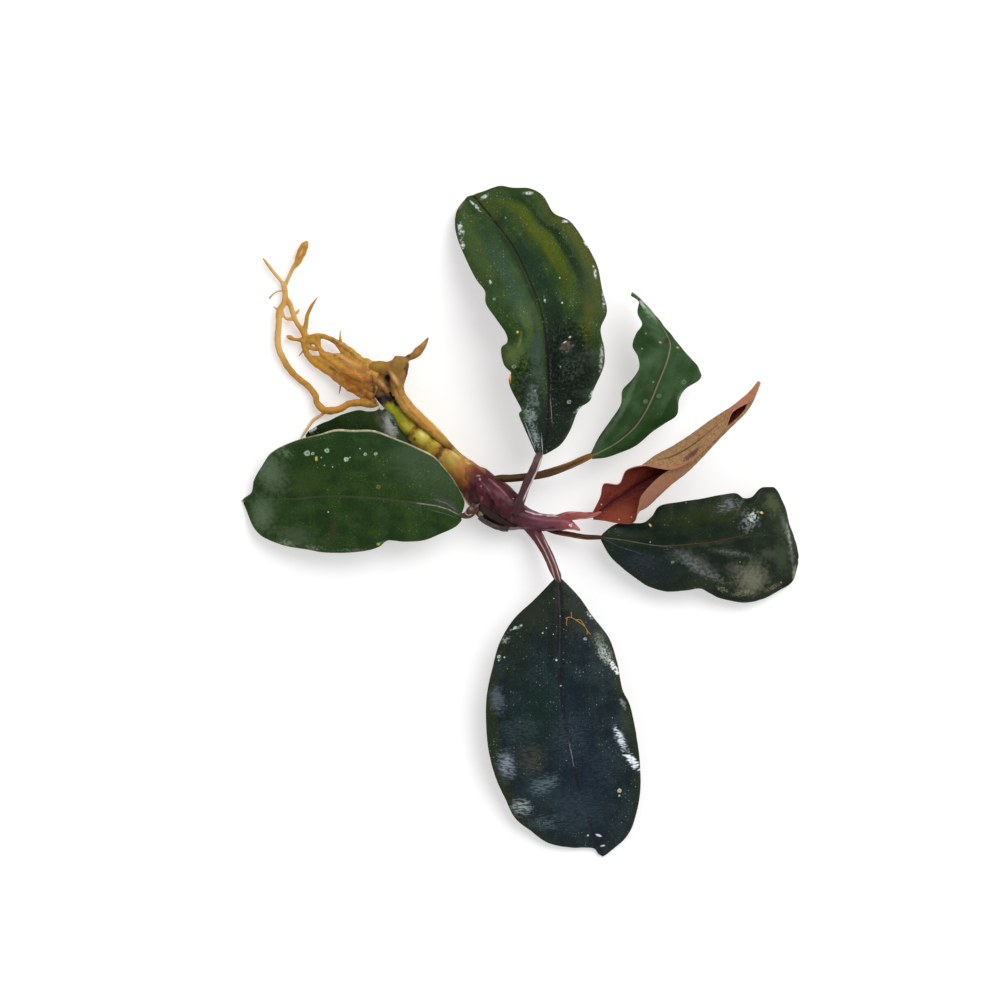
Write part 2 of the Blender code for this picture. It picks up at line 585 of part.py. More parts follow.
def make_leaves(materials):
    old_leaf = materials["old_leaf"]
    top_rails = (TOP_LEFT_MARGIN, TOP_MIDRIB, TOP_RIGHT_MARGIN)
    bottom_rails = (BOTTOM_LEFT_MARGIN, BOTTOM_MIDRIB, BOTTOM_RIGHT_MARGIN)
    left_rails = (LEFT_LOWER_MARGIN, LEFT_MIDRIB, LEFT_UPPER_MARGIN)
    under_rails = (UNDER_LOWER_MARGIN, UNDER_MIDRIB, UNDER_UPPER_MARGIN)
    right_rails = (RIGHT_LOWER_MARGIN, RIGHT_MIDRIB, RIGHT_UPPER_MARGIN)
    upper_right_rails = (
        UPPER_RIGHT_LEFT_MARGIN, UPPER_RIGHT_MIDRIB, UPPER_RIGHT_FOLD,
        UPPER_RIGHT_RIGHT_MARGIN,
    )
    young_rails = (
        YOUNG_LEFT_MARGIN, YOUNG_LEFT_FOLD, YOUNG_MIDRIB, YOUNG_RIGHT_FOLD,
        YOUNG_RIGHT_MARGIN,
    )
    make_blade("leaf_top", top_rails, 1, old_leaf)
    make_blade("leaf_bottom", bottom_rails, 1, old_leaf)
    make_blade("leaf_left", left_rails, 1, old_leaf)
    make_blade("leaf_under", under_rails, 1, old_leaf)
    make_blade("leaf_right", right_rails, 1, old_leaf)
    make_blade("leaf_upper_right", upper_right_rails, 1, materials["fresh_leaf"])
    make_blade(
        "leaf_young", young_rails, 2, materials["young_leaf"],
        thickness=YOUNG_LEAF_THICKNESS, sampler=curve_by_station,
    )


def make_stems(materials):
    old_wood = materials["old_wood"]
    make_rhizome(materials["rhizome"])
    make_tube("sheath", SHEATH_ROUTE, materials["sheath"], STALK_SIDES, SHEATH_RING_SPACING)
    make_tube("old_stump", OLD_STUMP_ROUTE, old_wood, STALK_SIDES, OLD_END_RING_SPACING)
    make_tube("spur", SPUR_ROUTE, old_wood, ROOT_SIDES, OLD_END_RING_SPACING)
    make_blade("bract", BRACT_RAILS, 1, old_wood, thickness=BRACT_THICKNESS)
    for name, route in STALK_ROUTES.items():
        make_tube(name, route, materials["stalk"], STALK_SIDES, STALK_RING_SPACING)


def make_roots(material):
    for name, route in ROOT_ROUTES.items():
        make_tube(name, route, material, ROOT_SIDES, ROOT_RING_SPACING)


def main():
    clear_scene()
    materials = make_materials()
    make_stems(materials)
    make_leaves(materials)
    make_roots(materials["root"])


main()
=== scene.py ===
"""Dresses a bucephalandra cutting: its leaves, stalks, rhizome and roots.

Seen from above, +X is to the right and +Y away from the viewer, with +Z up. Every point
and size is in millimetres, and becomes metres when its piece is made. Colours are red,
green and blue in thousandths of full brightness.
"""

import logging
import math
from dataclasses import dataclass, field
from enum import Enum
from typing import Callable, Sequence, Union

import bpy
import numpy as np
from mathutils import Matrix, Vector, noise


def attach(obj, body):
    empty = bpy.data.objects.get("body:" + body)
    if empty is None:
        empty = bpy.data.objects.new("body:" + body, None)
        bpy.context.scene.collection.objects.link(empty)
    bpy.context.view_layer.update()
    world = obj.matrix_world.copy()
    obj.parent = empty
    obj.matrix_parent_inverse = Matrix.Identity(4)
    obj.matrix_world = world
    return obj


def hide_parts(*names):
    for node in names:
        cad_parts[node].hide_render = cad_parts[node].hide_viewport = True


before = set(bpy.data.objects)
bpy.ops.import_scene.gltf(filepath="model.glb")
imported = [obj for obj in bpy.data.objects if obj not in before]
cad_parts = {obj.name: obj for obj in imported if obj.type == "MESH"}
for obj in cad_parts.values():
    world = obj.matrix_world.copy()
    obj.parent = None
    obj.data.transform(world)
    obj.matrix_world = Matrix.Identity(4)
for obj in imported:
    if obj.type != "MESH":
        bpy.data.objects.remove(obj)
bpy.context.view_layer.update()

LOG = logging.getLogger("bucephalandra")

MILLIMETRE = 0.001
BODY = "root"
FULL_COLOUR = 1000.0
LEAF_LAYER = "across_along"
RIB_LAYER = "ribs_in_mm"

Point = tuple[float, ...]
Rail = Sequence[Point]
Colour = tuple[float, float, float]
Socket = bpy.types.NodeSocket
Piece = bpy.types.Object
Feed = Union[float, tuple, Socket]


class Grain(Enum):
    """How fine the noise is that breaks up a mark, in lumps to the mm along X and Y."""

    FINE = (4.0, 4.0)
    FLAKE = (2.3, 2.3)
    RIPPLE = (1.2, 4.0)
    MEDIUM = (1.5, 1.5)
    BROAD = (0.35, 0.35)


class Face(Enum):
    """The material slots of a blade."""

    UPPER = 0
    UNDER = 1
    RIM = 2


# Curves


def smooth_curve(points: Rail, positions: np.ndarray) -> np.ndarray:
    """Read a smooth curve that goes through every one of its points.

    Args:
        points: The curve's points, or whole rows of points.
        positions: Where to read it, counted in spans from its first point.

    Returns:
        One place, or row of places, for each position.
    """
    knots = np.asarray(points, dtype=float)
    last = len(knots) - 1
    start = np.clip(positions.astype(int), 0, last - 1)
    share = (positions - start).reshape((-1,) + (1,) * (knots.ndim - 1))
    before = knots[np.maximum(start - 1, 0)]
    here = knots[start]
    there = knots[start + 1]
    after = knots[np.minimum(start + 2, last)]
    leave = (there - before) / 2
    arrive = (after - here) / 2
    change = there - here
    bend = 3 * change - 2 * leave - arrive
    twist = leave + arrive - 2 * change
    return here + leave * share + bend * share ** 2 + twist * share ** 3


def by_station(points: Rail, count: int) -> np.ndarray:
    """Read a smooth curve at even stations between its own points."""
    return smooth_curve(points, np.linspace(0.0, len(points) - 1.0, count))


def by_length(points: Rail, count: int) -> np.ndarray:
    """Read a smooth curve at places that are evenly spaced along it."""
    samples_to_a_point = 12
    fine = by_station(points, samples_to_a_point * len(points))
    steps = np.linalg.norm(np.diff(fine[:, :3], axis=0), axis=1)
    lengths = np.concatenate(([0.0], np.cumsum(steps)))
    wanted = np.linspace(0.0, lengths[-1], count)
    return np.column_stack([np.interp(wanted, lengths, column) for column in fine.T])


def bell(distance: np.ndarray, width: float) -> np.ndarray:
    """Return 1 at no distance, falling smoothly to nothing past the width."""
    return np.exp(-(distance / width) ** 2)


def lumps(places: np.ndarray, size: float, seed: float) -> np.ndarray:
    """Return smooth noise from -1 to 1 at places in mm, with lumps of about one size."""
    flat = places.reshape(-1, 3) / size + seed
    values = [noise.noise(Vector(place)) for place in flat]
    return np.array(values).reshape(places.shape[:-1])


# Meshes


def deselect_all() -> None:
    """Leave nothing selected and no object in edit mode."""
    bpy.ops.object.select_all(action="DESELECT")


def choose(piece: Piece) -> None:
    """Make one object the only selected one, and the active one."""
    deselect_all()
    piece.select_set(True)
    bpy.context.view_layer.objects.active = piece


def apply_modifier(piece: Piece, kind: str, **settings: object) -> None:
    """Add a modifier with these settings and apply it."""
    choose(piece)
    modifier = piece.modifiers.new(kind.lower(), kind)
    for name, value in settings.items():
        setattr(modifier, name, value)
    bpy.ops.object.modifier_apply(modifier=modifier.name)


def add_layer(piece: Piece, name: str, pairs: np.ndarray) -> None:
    """Store a pair of numbers for each vertex as a UV map."""
    mesh = piece.data
    corners = np.empty(len(mesh.loops), dtype=np.int32)
    mesh.loops.foreach_get("vertex_index", corners)
    layer = mesh.uv_layers.get(name) or mesh.uv_layers.new(name=name)
    layer.data.foreach_set("uv", pairs.reshape(-1, 2)[corners].ravel())


def add_sheet(name: str, places: np.ndarray, maps: dict[str, np.ndarray]) -> Piece:
    """Add a grid of faces and bend it through rows of places.

    Args:
        name: The object's name.
        places: Rows by columns by three, in mm. Rows run along, columns across.
        maps: UV maps by name, rows by columns by two.

    Returns:
        The new object, with its place in its mesh.
    """
    rows, columns = places.shape[:2]
    deselect_all()
    bpy.ops.mesh.primitive_grid_add(
        x_subdivisions=columns - 1, y_subdivisions=rows - 1, size=MILLIMETRE, calc_uvs=False
    )
    piece = bpy.context.active_object
    piece.name = name
    piece.data.name = name
    piece.data.vertices.foreach_set("co", (places * MILLIMETRE).ravel())
    for layer, pairs in maps.items():
        add_layer(piece, layer, pairs)
    piece.data.update()
    return piece


def close_tube(piece: Piece) -> None:
    """Join a rolled sheet along its seam, fill both its ends and face it outwards."""
    seam_distance = 0.0005 * MILLIMETRE
    choose(piece)
    bpy.ops.object.mode_set(mode="EDIT")
    bpy.ops.mesh.select_all(action="SELECT")
    bpy.ops.mesh.remove_doubles(threshold=seam_distance)
    bpy.ops.mesh.fill_holes(sides=0)
    bpy.ops.mesh.select_all(action="SELECT")
    bpy.ops.mesh.normals_make_consistent(inside=False)
    bpy.ops.object.mode_set(mode="OBJECT")


def smooth_shade(piece: Piece, angle: float) -> None:
    """Shade a piece smooth, but for edges sharper than an angle in degrees."""
    choose(piece)
    bpy.ops.object.shade_smooth_by_angle(angle=math.radians(angle))


def join(name: str, pieces: Sequence[Piece]) -> Piece:
    """Join pieces in one object, under a new name."""
    deselect_all()
    for piece in pieces:
        piece.select_set(True)
    bpy.context.view_layer.objects.active = pieces[0]
    bpy.ops.object.join()
    joined = bpy.context.active_object
    joined.name = name
    joined.data.name = name
    return joined


def place_piece(piece: Piece, slot: str, nodes: Sequence[str]) -> Piece:
    """Fix a piece to the plant, and hide the solids it stands for."""
    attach(piece, BODY)
    if nodes:
        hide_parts(*nodes)
    LOG.info("%s: %d faces", piece.name, len(piece.data.polygons))
    return piece


# Node trees


def opaque(colour: Colour) -> tuple[float, ...]:
    """Return a colour as a shader takes it, from 0 to 1 and with nothing seen through it."""
    return (*(part / FULL_COLOUR for part in colour[:3]), 1.0)


class Bench:
    """A node tree, with short ways to add nodes and link them."""

    def __init__(self, tree: bpy.types.NodeTree) -> None:
        """Work on one tree."""
        self.tree = tree

    def feed(self, target: Socket, value: Feed) -> None:
        """Link a socket to an input, or set a plain value on it."""
        if isinstance(value, Socket):
            self.tree.links.new(value, target)
        elif target.type == "RGBA":
            target.default_value = opaque(value)
        else:
            target.default_value = value

    def add(self, kind: str, inputs: dict[str, Feed], **settings: object) -> bpy.types.Node:
        """Add a node, with its settings and its inputs by name."""
        node = self.tree.nodes.new(kind)
        for name, value in settings.items():
            setattr(node, name, value)
        for name, value in inputs.items():
            self.feed(node.inputs[name], value)
        return node

    def math(self, operation: str, *values: Feed) -> Socket:
        """Work out one number from one, two or three."""
        node = self.add("ShaderNodeMath", {}, operation=operation)
        for target, value in zip(node.inputs, values):
            self.feed(target, value)
        return node.outputs[0]

    def vector(self, operation: str, *values: Feed) -> bpy.types.Node:
        """Add a vector sum, which the caller reads by output."""
        node = self.add("ShaderNodeVectorMath", {}, operation=operation)
        for target, value in zip(node.inputs, values):
            self.feed(target, value)
        return node

    def step(self, value: Feed, low: Feed, high: Feed) -> Socket:
        """Rise smoothly from 0 at low to 1 at high, or fall if low is the greater."""
        inputs = {"Value": value, "From Min": low, "From Max": high}
        node = self.add("ShaderNodeMapRange", inputs, interpolation_type="SMOOTHSTEP")
        return node.outputs[0]

    def mix(self, share: Feed, first: Feed, second: Feed) -> Socket:
        """Blend two colours."""
        node = self.add("ShaderNodeMix", {}, data_type="RGBA")
        self.feed(node.inputs[0], share)
        self.feed(node.inputs[6], first)
        self.feed(node.inputs[7], second)
        return node.outputs[2]

    def noise(self, place: Feed, scale: float, detail: float = 2.0) -> Socket:
        """Return noise from 0 to 1."""
        inputs = {"Vector": place, "Scale": scale, "Detail": detail}
        return self.add("ShaderNodeTexNoise", inputs).outputs["Fac"]

    def group(self, tree: bpy.types.NodeTree, **inputs: Feed) -> bpy.types.Node:
        """Place a node group, its inputs given in lower case."""
        node = self.add("ShaderNodeGroup", {}, node_tree=tree)
        for name, value in inputs.items():
            self.feed(node.inputs[name.replace("_", " ").title()], value)
        return node


class GroupBench(Bench):
    """A new node group that is being built."""

    def __init__(self, name: str, inputs: dict[str, str], outputs: Sequence[str]) -> None:
        """Start a group.

        Args:
            name: The group's name.
            inputs: The kind of each input, Float or Vector or Color, by name.
            outputs: The names of its outputs, each one number.
        """
        super().__init__(bpy.data.node_groups.new(name, "ShaderNodeTree"))
        face = self.tree.interface
        for label, kind in inputs.items():
            face.new_socket(name=label, in_out="INPUT", socket_type="NodeSocket" + kind)
        for label in outputs:
            face.new_socket(name=label, in_out="OUTPUT", socket_type="NodeSocketFloat")
        self.given = self.tree.nodes.new("NodeGroupInput").outputs
        self.result = self.tree.nodes.new("NodeGroupOutput").inputs


class GroupShelf:
    """The effects that more than one material uses, each built once."""

    def __init__(self) -> None:
        """Build every group."""
        self.patch = self.make_patch()
        self.veins = self.make_veins()
        self.specks = self.make_specks()
        self.skin = self.make_skin()

    @staticmethod
    def make_patch() -> bpy.types.NodeTree:
        """Build the mask of an oval mark whose edge is broken by noise."""
        inputs = {
            "Place": "Vector", "Middle": "Vector", "Reach": "Vector", "Turn": "Float",
            "Softness": "Float", "Breakup": "Float", "Holes": "Float", "Noise": "Float",
        }
        bench = GroupBench("soft_patch", inputs, ["Mask"])
        given = bench.given
        offset = bench.vector("SUBTRACT", given["Place"], given["Middle"]).outputs[0]
        level = bench.vector("MULTIPLY", offset, (1.0, 1.0, 0.0)).outputs[0]
        back = bench.math("MULTIPLY", given["Turn"], -1.0)
        turned = bench.add(
            "ShaderNodeVectorRotate", {"Vector": level, "Angle": back}, rotation_type="Z_AXIS"
        )
        share = bench.vector("DIVIDE", turned.outputs[0], given["Reach"]).outputs[0]
        distance = bench.vector("LENGTH", share).outputs["Value"]
        swing = bench.math("SUBTRACT", given["Noise"], 0.5)
        shift = bench.math("MULTIPLY", swing, given["Breakup"])
        ragged = bench.math("MULTIPLY_ADD", shift, 4.0, distance)
        inner = bench.math("SUBTRACT", 1.0, given["Softness"])
        holed_sheen_or_mark = bench.math("MULTIPLY", bench.step(given["Noise"], 0.44, 0.60), given["Holes"])
        whole = bench.math("SUBTRACT", 1.0, holed_sheen_or_mark)
        mask = bench.math("MULTIPLY", bench.step(ragged, 1.0, inner), whole)
        bench.feed(bench.result["Mask"], mask)
        return bench.tree

    @staticmethod
    def make_veins() -> bpy.types.NodeTree:
        """Build the masks of a blade's midrib, its lateral veins and the net between them."""
        inputs = {
            "Ribs": "Vector", "Spacing": "Float", "Slant": "Float", "Midrib Width": "Float",
        }
        bench = GroupBench("leaf_veins", inputs, ["Midrib", "Lateral", "Net"])
        given = bench.given
        parts = bench.add("ShaderNodeSeparateXYZ", {"Vector": given["Ribs"]}).outputs
        across = bench.math("ABSOLUTE", parts[0])
        lean = bench.math("MULTIPLY", bench.math("POWER", across, 0.85), given["Slant"])
        wander = bench.noise(given["Ribs"], 0.5)
        along = bench.math("ADD", bench.math("SUBTRACT", parts[1], lean), wander)
        phase = bench.math("FRACT", bench.math("DIVIDE", along, given["Spacing"]))
        ridge = bench.math("ABSOLUTE", bench.math("MULTIPLY_ADD", phase, 2.0, -1.0))
        away = bench.step(across, 0.2, 0.9)
        lateral = bench.math("MULTIPLY", bench.step(ridge, 0.86, 0.99), away)
        half = bench.math("MULTIPLY", given["Midrib Width"], 0.5)
        bench.feed(bench.result["Midrib"], bench.step(across, given["Midrib Width"], half))
        bench.feed(bench.result["Lateral"], lateral)
        cells = bench.add(
            "ShaderNodeTexVoronoi", {"Vector": given["Ribs"], "Scale": 1.6},
            feature="DISTANCE_TO_EDGE",
        )
        bench.feed(bench.result["Net"], bench.step(cells.outputs["Distance"], 0.09, 0.02))
        return bench.tree

    @staticmethod
    def make_specks() -> bpy.types.NodeTree:
        """Build the mask of small round specks, scattered at random."""
        inputs = {"Place": "Vector", "Cells": "Float", "Size": "Float", "Share": "Float"}
        bench = GroupBench("scattered_specks", inputs, ["Mask"])
        given = bench.given
        cells = bench.add(
            "ShaderNodeTexVoronoi", {"Vector": given["Place"], "Scale": given["Cells"]},
            voronoi_dimensions="2D",
        )
        chance = bench.add("ShaderNodeSeparateColor", {"Color": cells.outputs["Color"]}).outputs
        present = bench.math("LESS_THAN", chance[0], given["Share"])
        reach = bench.math("MULTIPLY", bench.math("ADD", chance[1], 0.35), given["Size"])
        inner = bench.math("MULTIPLY", reach, 0.5)
        dot = bench.step(cells.outputs["Distance"], reach, inner)
        bench.feed(bench.result["Mask"], bench.math("MULTIPLY", dot, present))
        return bench.tree

    @staticmethod
    def make_skin() -> bpy.types.NodeTree:
        """Build the height of a fine grained skin, with broader lumps under it."""
        inputs = {"Place": "Vector", "Grain": "Float", "Lump": "Float"}
        bench = GroupBench("plant_skin", inputs, ["Height", "Mottle"])
        given = bench.given
        fine = bench.add(
            "ShaderNodeTexNoise", {"Vector": given["Place"], "Scale": given["Grain"]}
        ).outputs["Fac"]
        broad = bench.add(
            "ShaderNodeTexNoise", {"Vector": given["Place"], "Scale": given["Lump"]}
        ).outputs["Fac"]
        bench.feed(bench.result["Height"], bench.math("MULTIPLY_ADD", fine, 0.3, broad))
        bench.feed(bench.result["Mottle"], broad)
        return bench.tree


# Finishes


@dataclass(frozen=True)
class Patch:
    """A mark or band with soft, broken edges.

    A mark on a blade has its middle and half sizes in mm. A band has them as shares of
    the blade's width and length.
    """

    middle: tuple[float, float]
    reach: tuple[float, float]
    colour: Colour
    strength: float = 0.8
    turn: float = 0.0
    breakup: float = 0.25
    grain: Grain = Grain.FINE
    softness: float = 0.7
    holes: float = 0.0


Marks = tuple[Patch, ...]


@dataclass(frozen=True)
class Speckle:
    """A scatter of specks: cells to the mm, size in cells, share of cells that hold one."""

    cells: float
    size: float
    share: float
    colour: Colour
    strength: float


@dataclass(frozen=True)
class LeafFinish:
    """How a blade looks on its upper side, underside and rim."""

    dark: Colour
    body: Colour
    midrib: Colour
    vein: Colour
    margin: Colour
    edge: Colour
    under: Colour
    under_vein: Colour
    bands: Marks = ()
    marks: Marks = ()
    under_bands: Marks = ()
    speckles: tuple[Speckle, ...] = ()
    midrib_width: float = 0.3
    midrib_strength: float = 0.8
    midrib_end: float = 1.2
    vein_strength: float = 0.25
    vein_spacing: float = 2.6
    vein_slant: float = 0.9
    net_strength: float = 0.0
    margin_width: float = 0.5
    margin_strength: float = 0.5
    mottle: float = 0.22
    roughness: float = 0.36
    coat: float = 0.02
    relief: float = 0.5

    def upper(self, name: str, shelf: GroupShelf) -> bpy.types.Material:
        """Make the material of the upper side.

        Args:
            name: The blade's name.
            shelf: The shared node groups.

        Returns:
            A material that follows the blade's own UV maps and places in mm.
        """
        sheet = MaterialBench(name + "_upper", shelf)
        ribs = sheet.uv(RIB_LAYER)
        shares = sheet.uv(LEAF_LAYER)
        streaks = sheet.streaks(ribs)
        broad = sheet.grain(Grain.BROAD)
        veins = sheet.group(
            shelf.veins, ribs=ribs, spacing=self.vein_spacing, slant=self.vein_slant,
            midrib_width=self.midrib_width,
        ).outputs
        tone = sheet.step(sheet.math("ADD", broad, sheet.math("MULTIPLY", streaks, 0.5)), 0.55, 0.95)
        colour = sheet.mix(tone, self.dark, self.body)
        flakes = sheet.grain(Grain.FLAKE)
        for band in self.bands:
            colour = sheet.lay(band, shares, streaks, colour)[0]
        fleck = sheet.step(sheet.grain(Grain.FINE), 0.28, 0.72)
        lift = sheet.math("MULTIPLY_ADD", fleck, 2.0 * self.mottle, 1.0 - self.mottle)
        colour = sheet.add("ShaderNodeVectorMath", {0: colour, "Scale": lift}, operation="SCALE")
        colour = colour.outputs[0]
        lateral = sheet.math("MULTIPLY", veins["Lateral"], self.vein_strength)
        colour = sheet.mix(lateral, colour, self.vein)
        net = sheet.math("MULTIPLY", veins["Net"], self.net_strength)
        colour = sheet.mix(net, colour, self.vein)
        colour = sheet.mix(self.rim_share(sheet, shares), colour, self.margin)
        along = sheet.add("ShaderNodeSeparateXYZ", {"Vector": shares}).outputs[1]
        reached = sheet.step(along, self.midrib_end, self.midrib_end - 0.2)
        midrib = sheet.math("MULTIPLY", veins["Midrib"], self.midrib_strength)
        colour = sheet.mix(sheet.math("MULTIPLY", midrib, reached), colour, self.midrib)
        # Sums how much of the specks and marks shows, painted glare among them, to raise relief and
        # roughness there.
        glare_and_marks: Feed = 0.0
        for speckle in self.speckles:
            mask = sheet.group(
                shelf.specks, place=sheet.place, cells=speckle.cells, size=speckle.size,
                share=speckle.share,
            ).outputs["Mask"]
            gathered = sheet.step(sheet.grain(Grain.BROAD), 0.40, 0.62)
            share = sheet.math("MULTIPLY", sheet.math("MULTIPLY", mask, gathered), speckle.strength)
            colour = sheet.mix(share, colour, speckle.colour)
            glare_and_marks = sheet.math("ADD", glare_and_marks, share)
        for mark in self.marks:
            colour, mask = sheet.lay(mark, sheet.place, sheet.grain(mark.grain), colour)
            glare_and_marks = sheet.math("ADD", glare_and_marks, mask)
        skin = sheet.group(shelf.skin, place=sheet.place, grain=4.5, lump=1.6).outputs
        height = sheet.math("MULTIPLY_ADD", veins["Lateral"], -0.15, skin["Height"])
        height = sheet.math("MULTIPLY_ADD", flakes, 0.35, height)
        height = sheet.math("MULTIPLY_ADD", glare_and_marks, 0.3, height)
        rough = sheet.math("MULTIPLY_ADD", glare_and_marks, 0.15, self.roughness)
        rough = sheet.math("MULTIPLY_ADD", sheet.grain(Grain.FINE), 0.12, rough)
        sheet.finish(colour, rough, height, self.relief, self.coat)
        return sheet.material

    def rim_share(self, sheet: "MaterialBench", shares: Feed) -> Socket:
        """Return how much of the margin's colour shows, which grows towards both margins."""
        parts = sheet.add("ShaderNodeSeparateXYZ", {"Vector": shares}).outputs
        out = sheet.math("ABSOLUTE", sheet.math("MULTIPLY_ADD", parts[0], 2.0, -1.0))
        ragged = sheet.math("MULTIPLY_ADD", sheet.grain(Grain.MEDIUM), 0.06, out)
        full = 1.03
        start = full - self.margin_width / 10.0
        return sheet.math("MULTIPLY", sheet.step(ragged, start, full), self.margin_strength)

    def underside(self, name: str, shelf: GroupShelf) -> bpy.types.Material:
        """Make the paler material of the underside, with its net of veins."""
        sheet = MaterialBench(name + "_under", shelf)
        ribs = sheet.uv(RIB_LAYER)
        shares = sheet.uv(LEAF_LAYER)
        veins = sheet.group(
            shelf.veins, ribs=ribs, spacing=self.vein_spacing, slant=self.vein_slant,
            midrib_width=self.midrib_width * 1.6,
        ).outputs
        pale = tuple(min(FULL_COLOUR, part * 1.35) for part in self.under)
        colour = sheet.mix(sheet.grain(Grain.MEDIUM), self.under, pale)
        net = sheet.math("MULTIPLY", veins["Net"], 0.45)
        colour = sheet.mix(net, colour, self.under_vein)
        lines = sheet.math("MAXIMUM", veins["Lateral"], veins["Midrib"])
        colour = sheet.mix(sheet.math("MULTIPLY", lines, 0.32), colour, self.under_vein)
        for band in self.under_bands:
            colour = sheet.lay(band, shares, sheet.grain(band.grain), colour)[0]
        skin = sheet.group(shelf.skin, place=sheet.place, grain=6.0, lump=1.5).outputs
        height = sheet.math("MULTIPLY_ADD", lines, 0.4, skin["Height"])
        rough = sheet.math("MULTIPLY_ADD", skin["Mottle"], 0.2, self.roughness)
        sheet.finish(colour, rough, height, self.relief, 0.0)
        return sheet.material

    def rim(self, name: str, shelf: GroupShelf) -> bpy.types.Material:
        """Make the material of the thin edge."""
        sheet = MaterialBench(name + "_rim", shelf)
        colour = sheet.mix(sheet.grain(Grain.MEDIUM), self.edge, self.margin)
        fine = sheet.grain(Grain.FINE)
        rough = sheet.math("MULTIPLY_ADD", fine, 0.2, self.roughness)
        sheet.finish(colour, rough, fine, self.relief, 0.0)
        return sheet.material


class MaterialBench(Bench):
    """A material that is being built, with its place in mm and its shared noises ready."""

    reflection = 0.045
    coat_roughness = 0.25
    relief_depth = 0.08

    def __init__(self, name: str, shelf: GroupShelf) -> None:
        """Start a material of this name."""
        self.material = bpy.data.materials.new(name)
        self.material.use_nodes = True
        super().__init__(self.material.node_tree)
        self.shelf = shelf
        self.shader = self.tree.nodes["Principled BSDF"]
        metres = self.add("ShaderNodeTexCoord", {}).outputs["Object"]
        per_metre = 1.0 / MILLIMETRE
        self.place = self.vector("MULTIPLY", metres, (per_metre, per_metre, per_metre)).outputs[0]
        self.grains: dict[Grain, Socket] = {}

    def grain(self, grain: Grain) -> Socket:
        """Return the noise of one grain, made when it is first asked for."""
        if grain not in self.grains:
            drawn = self.vector("MULTIPLY", self.place, (*grain.value, max(grain.value)))
            self.grains[grain] = self.noise(drawn.outputs[0], 1.0, detail=3.0)
        return self.grains[grain]

    def uv(self, layer: str) -> Socket:
        """Return one of the piece's own UV maps."""
        return self.add("ShaderNodeUVMap", {}, uv_map=layer).outputs["UV"]

    def streaks(self, ribs: Feed) -> Socket:
        """Return noise drawn out along the blade."""
        long = self.add("ShaderNodeMapping", {"Vector": ribs, "Scale": (0.9, 0.12, 1.0)})
        return self.noise(long.outputs[0], 1.0, detail=3.0)

    def lay(
        self, patch: Patch, place: Feed, ragged: Feed, under: Feed
    ) -> tuple[Socket, Socket]:
        """Lay a patch over a colour.

        Args:
            patch: The mark or band.
            place: The coordinates its middle and reach are given in.
            ragged: The noise that breaks its edge.
            under: The colour so far.

        Returns:
            The new colour, and how much of the patch shows.
        """
        mask = self.group(
            self.shelf.patch, place=place, middle=(*patch.middle, 0.0), reach=(*patch.reach, 1.0),
            turn=math.radians(patch.turn), softness=patch.softness, breakup=patch.breakup,
            holes=patch.holes, noise=ragged,
        ).outputs["Mask"]
        share = self.math("MULTIPLY", mask, patch.strength)
        return self.mix(share, under, patch.colour), share

    def ramp(self, share: Feed, stops: Sequence[tuple[float, Colour]]) -> Socket:
        """Return a colour that changes along a share, through named stops."""
        node = self.add("ShaderNodeValToRGB", {"Fac": share})
        stretch = node.color_ramp
        while len(stretch.elements) < len(stops):
            stretch.elements.new(1.0)
        for element, (position, colour) in zip(stretch.elements, stops):
            element.position = position
            element.color = opaque(colour)
        return node.outputs[0]

    def finish(
        self, colour: Feed, roughness: Feed, height: Feed, relief: float, coat: float
    ) -> None:
        """Link the colour, roughness and relief to the shader.

        Args:
            colour: The base colour.
            roughness: The roughness.
            height: The relief's height.
            relief: How strong the relief is.
            coat: The weight of the clear coat, the same all over.
        """
        self.feed(self.shader.inputs["Base Color"], colour)
        self.feed(self.shader.inputs["Roughness"], roughness)
        self.shader.inputs["Specular IOR Level"].default_value = self.reflection
        self.shader.inputs["Coat Weight"].default_value = coat
        self.shader.inputs["Coat Roughness"].default_value = self.coat_roughness
        depth = self.relief_depth * MILLIMETRE
        bump = self.add(
            "ShaderNodeBump", {"Height": height, "Strength": relief, "Distance": depth}
        )
        self.feed(self.shader.inputs["Normal"], bump.outputs[0])


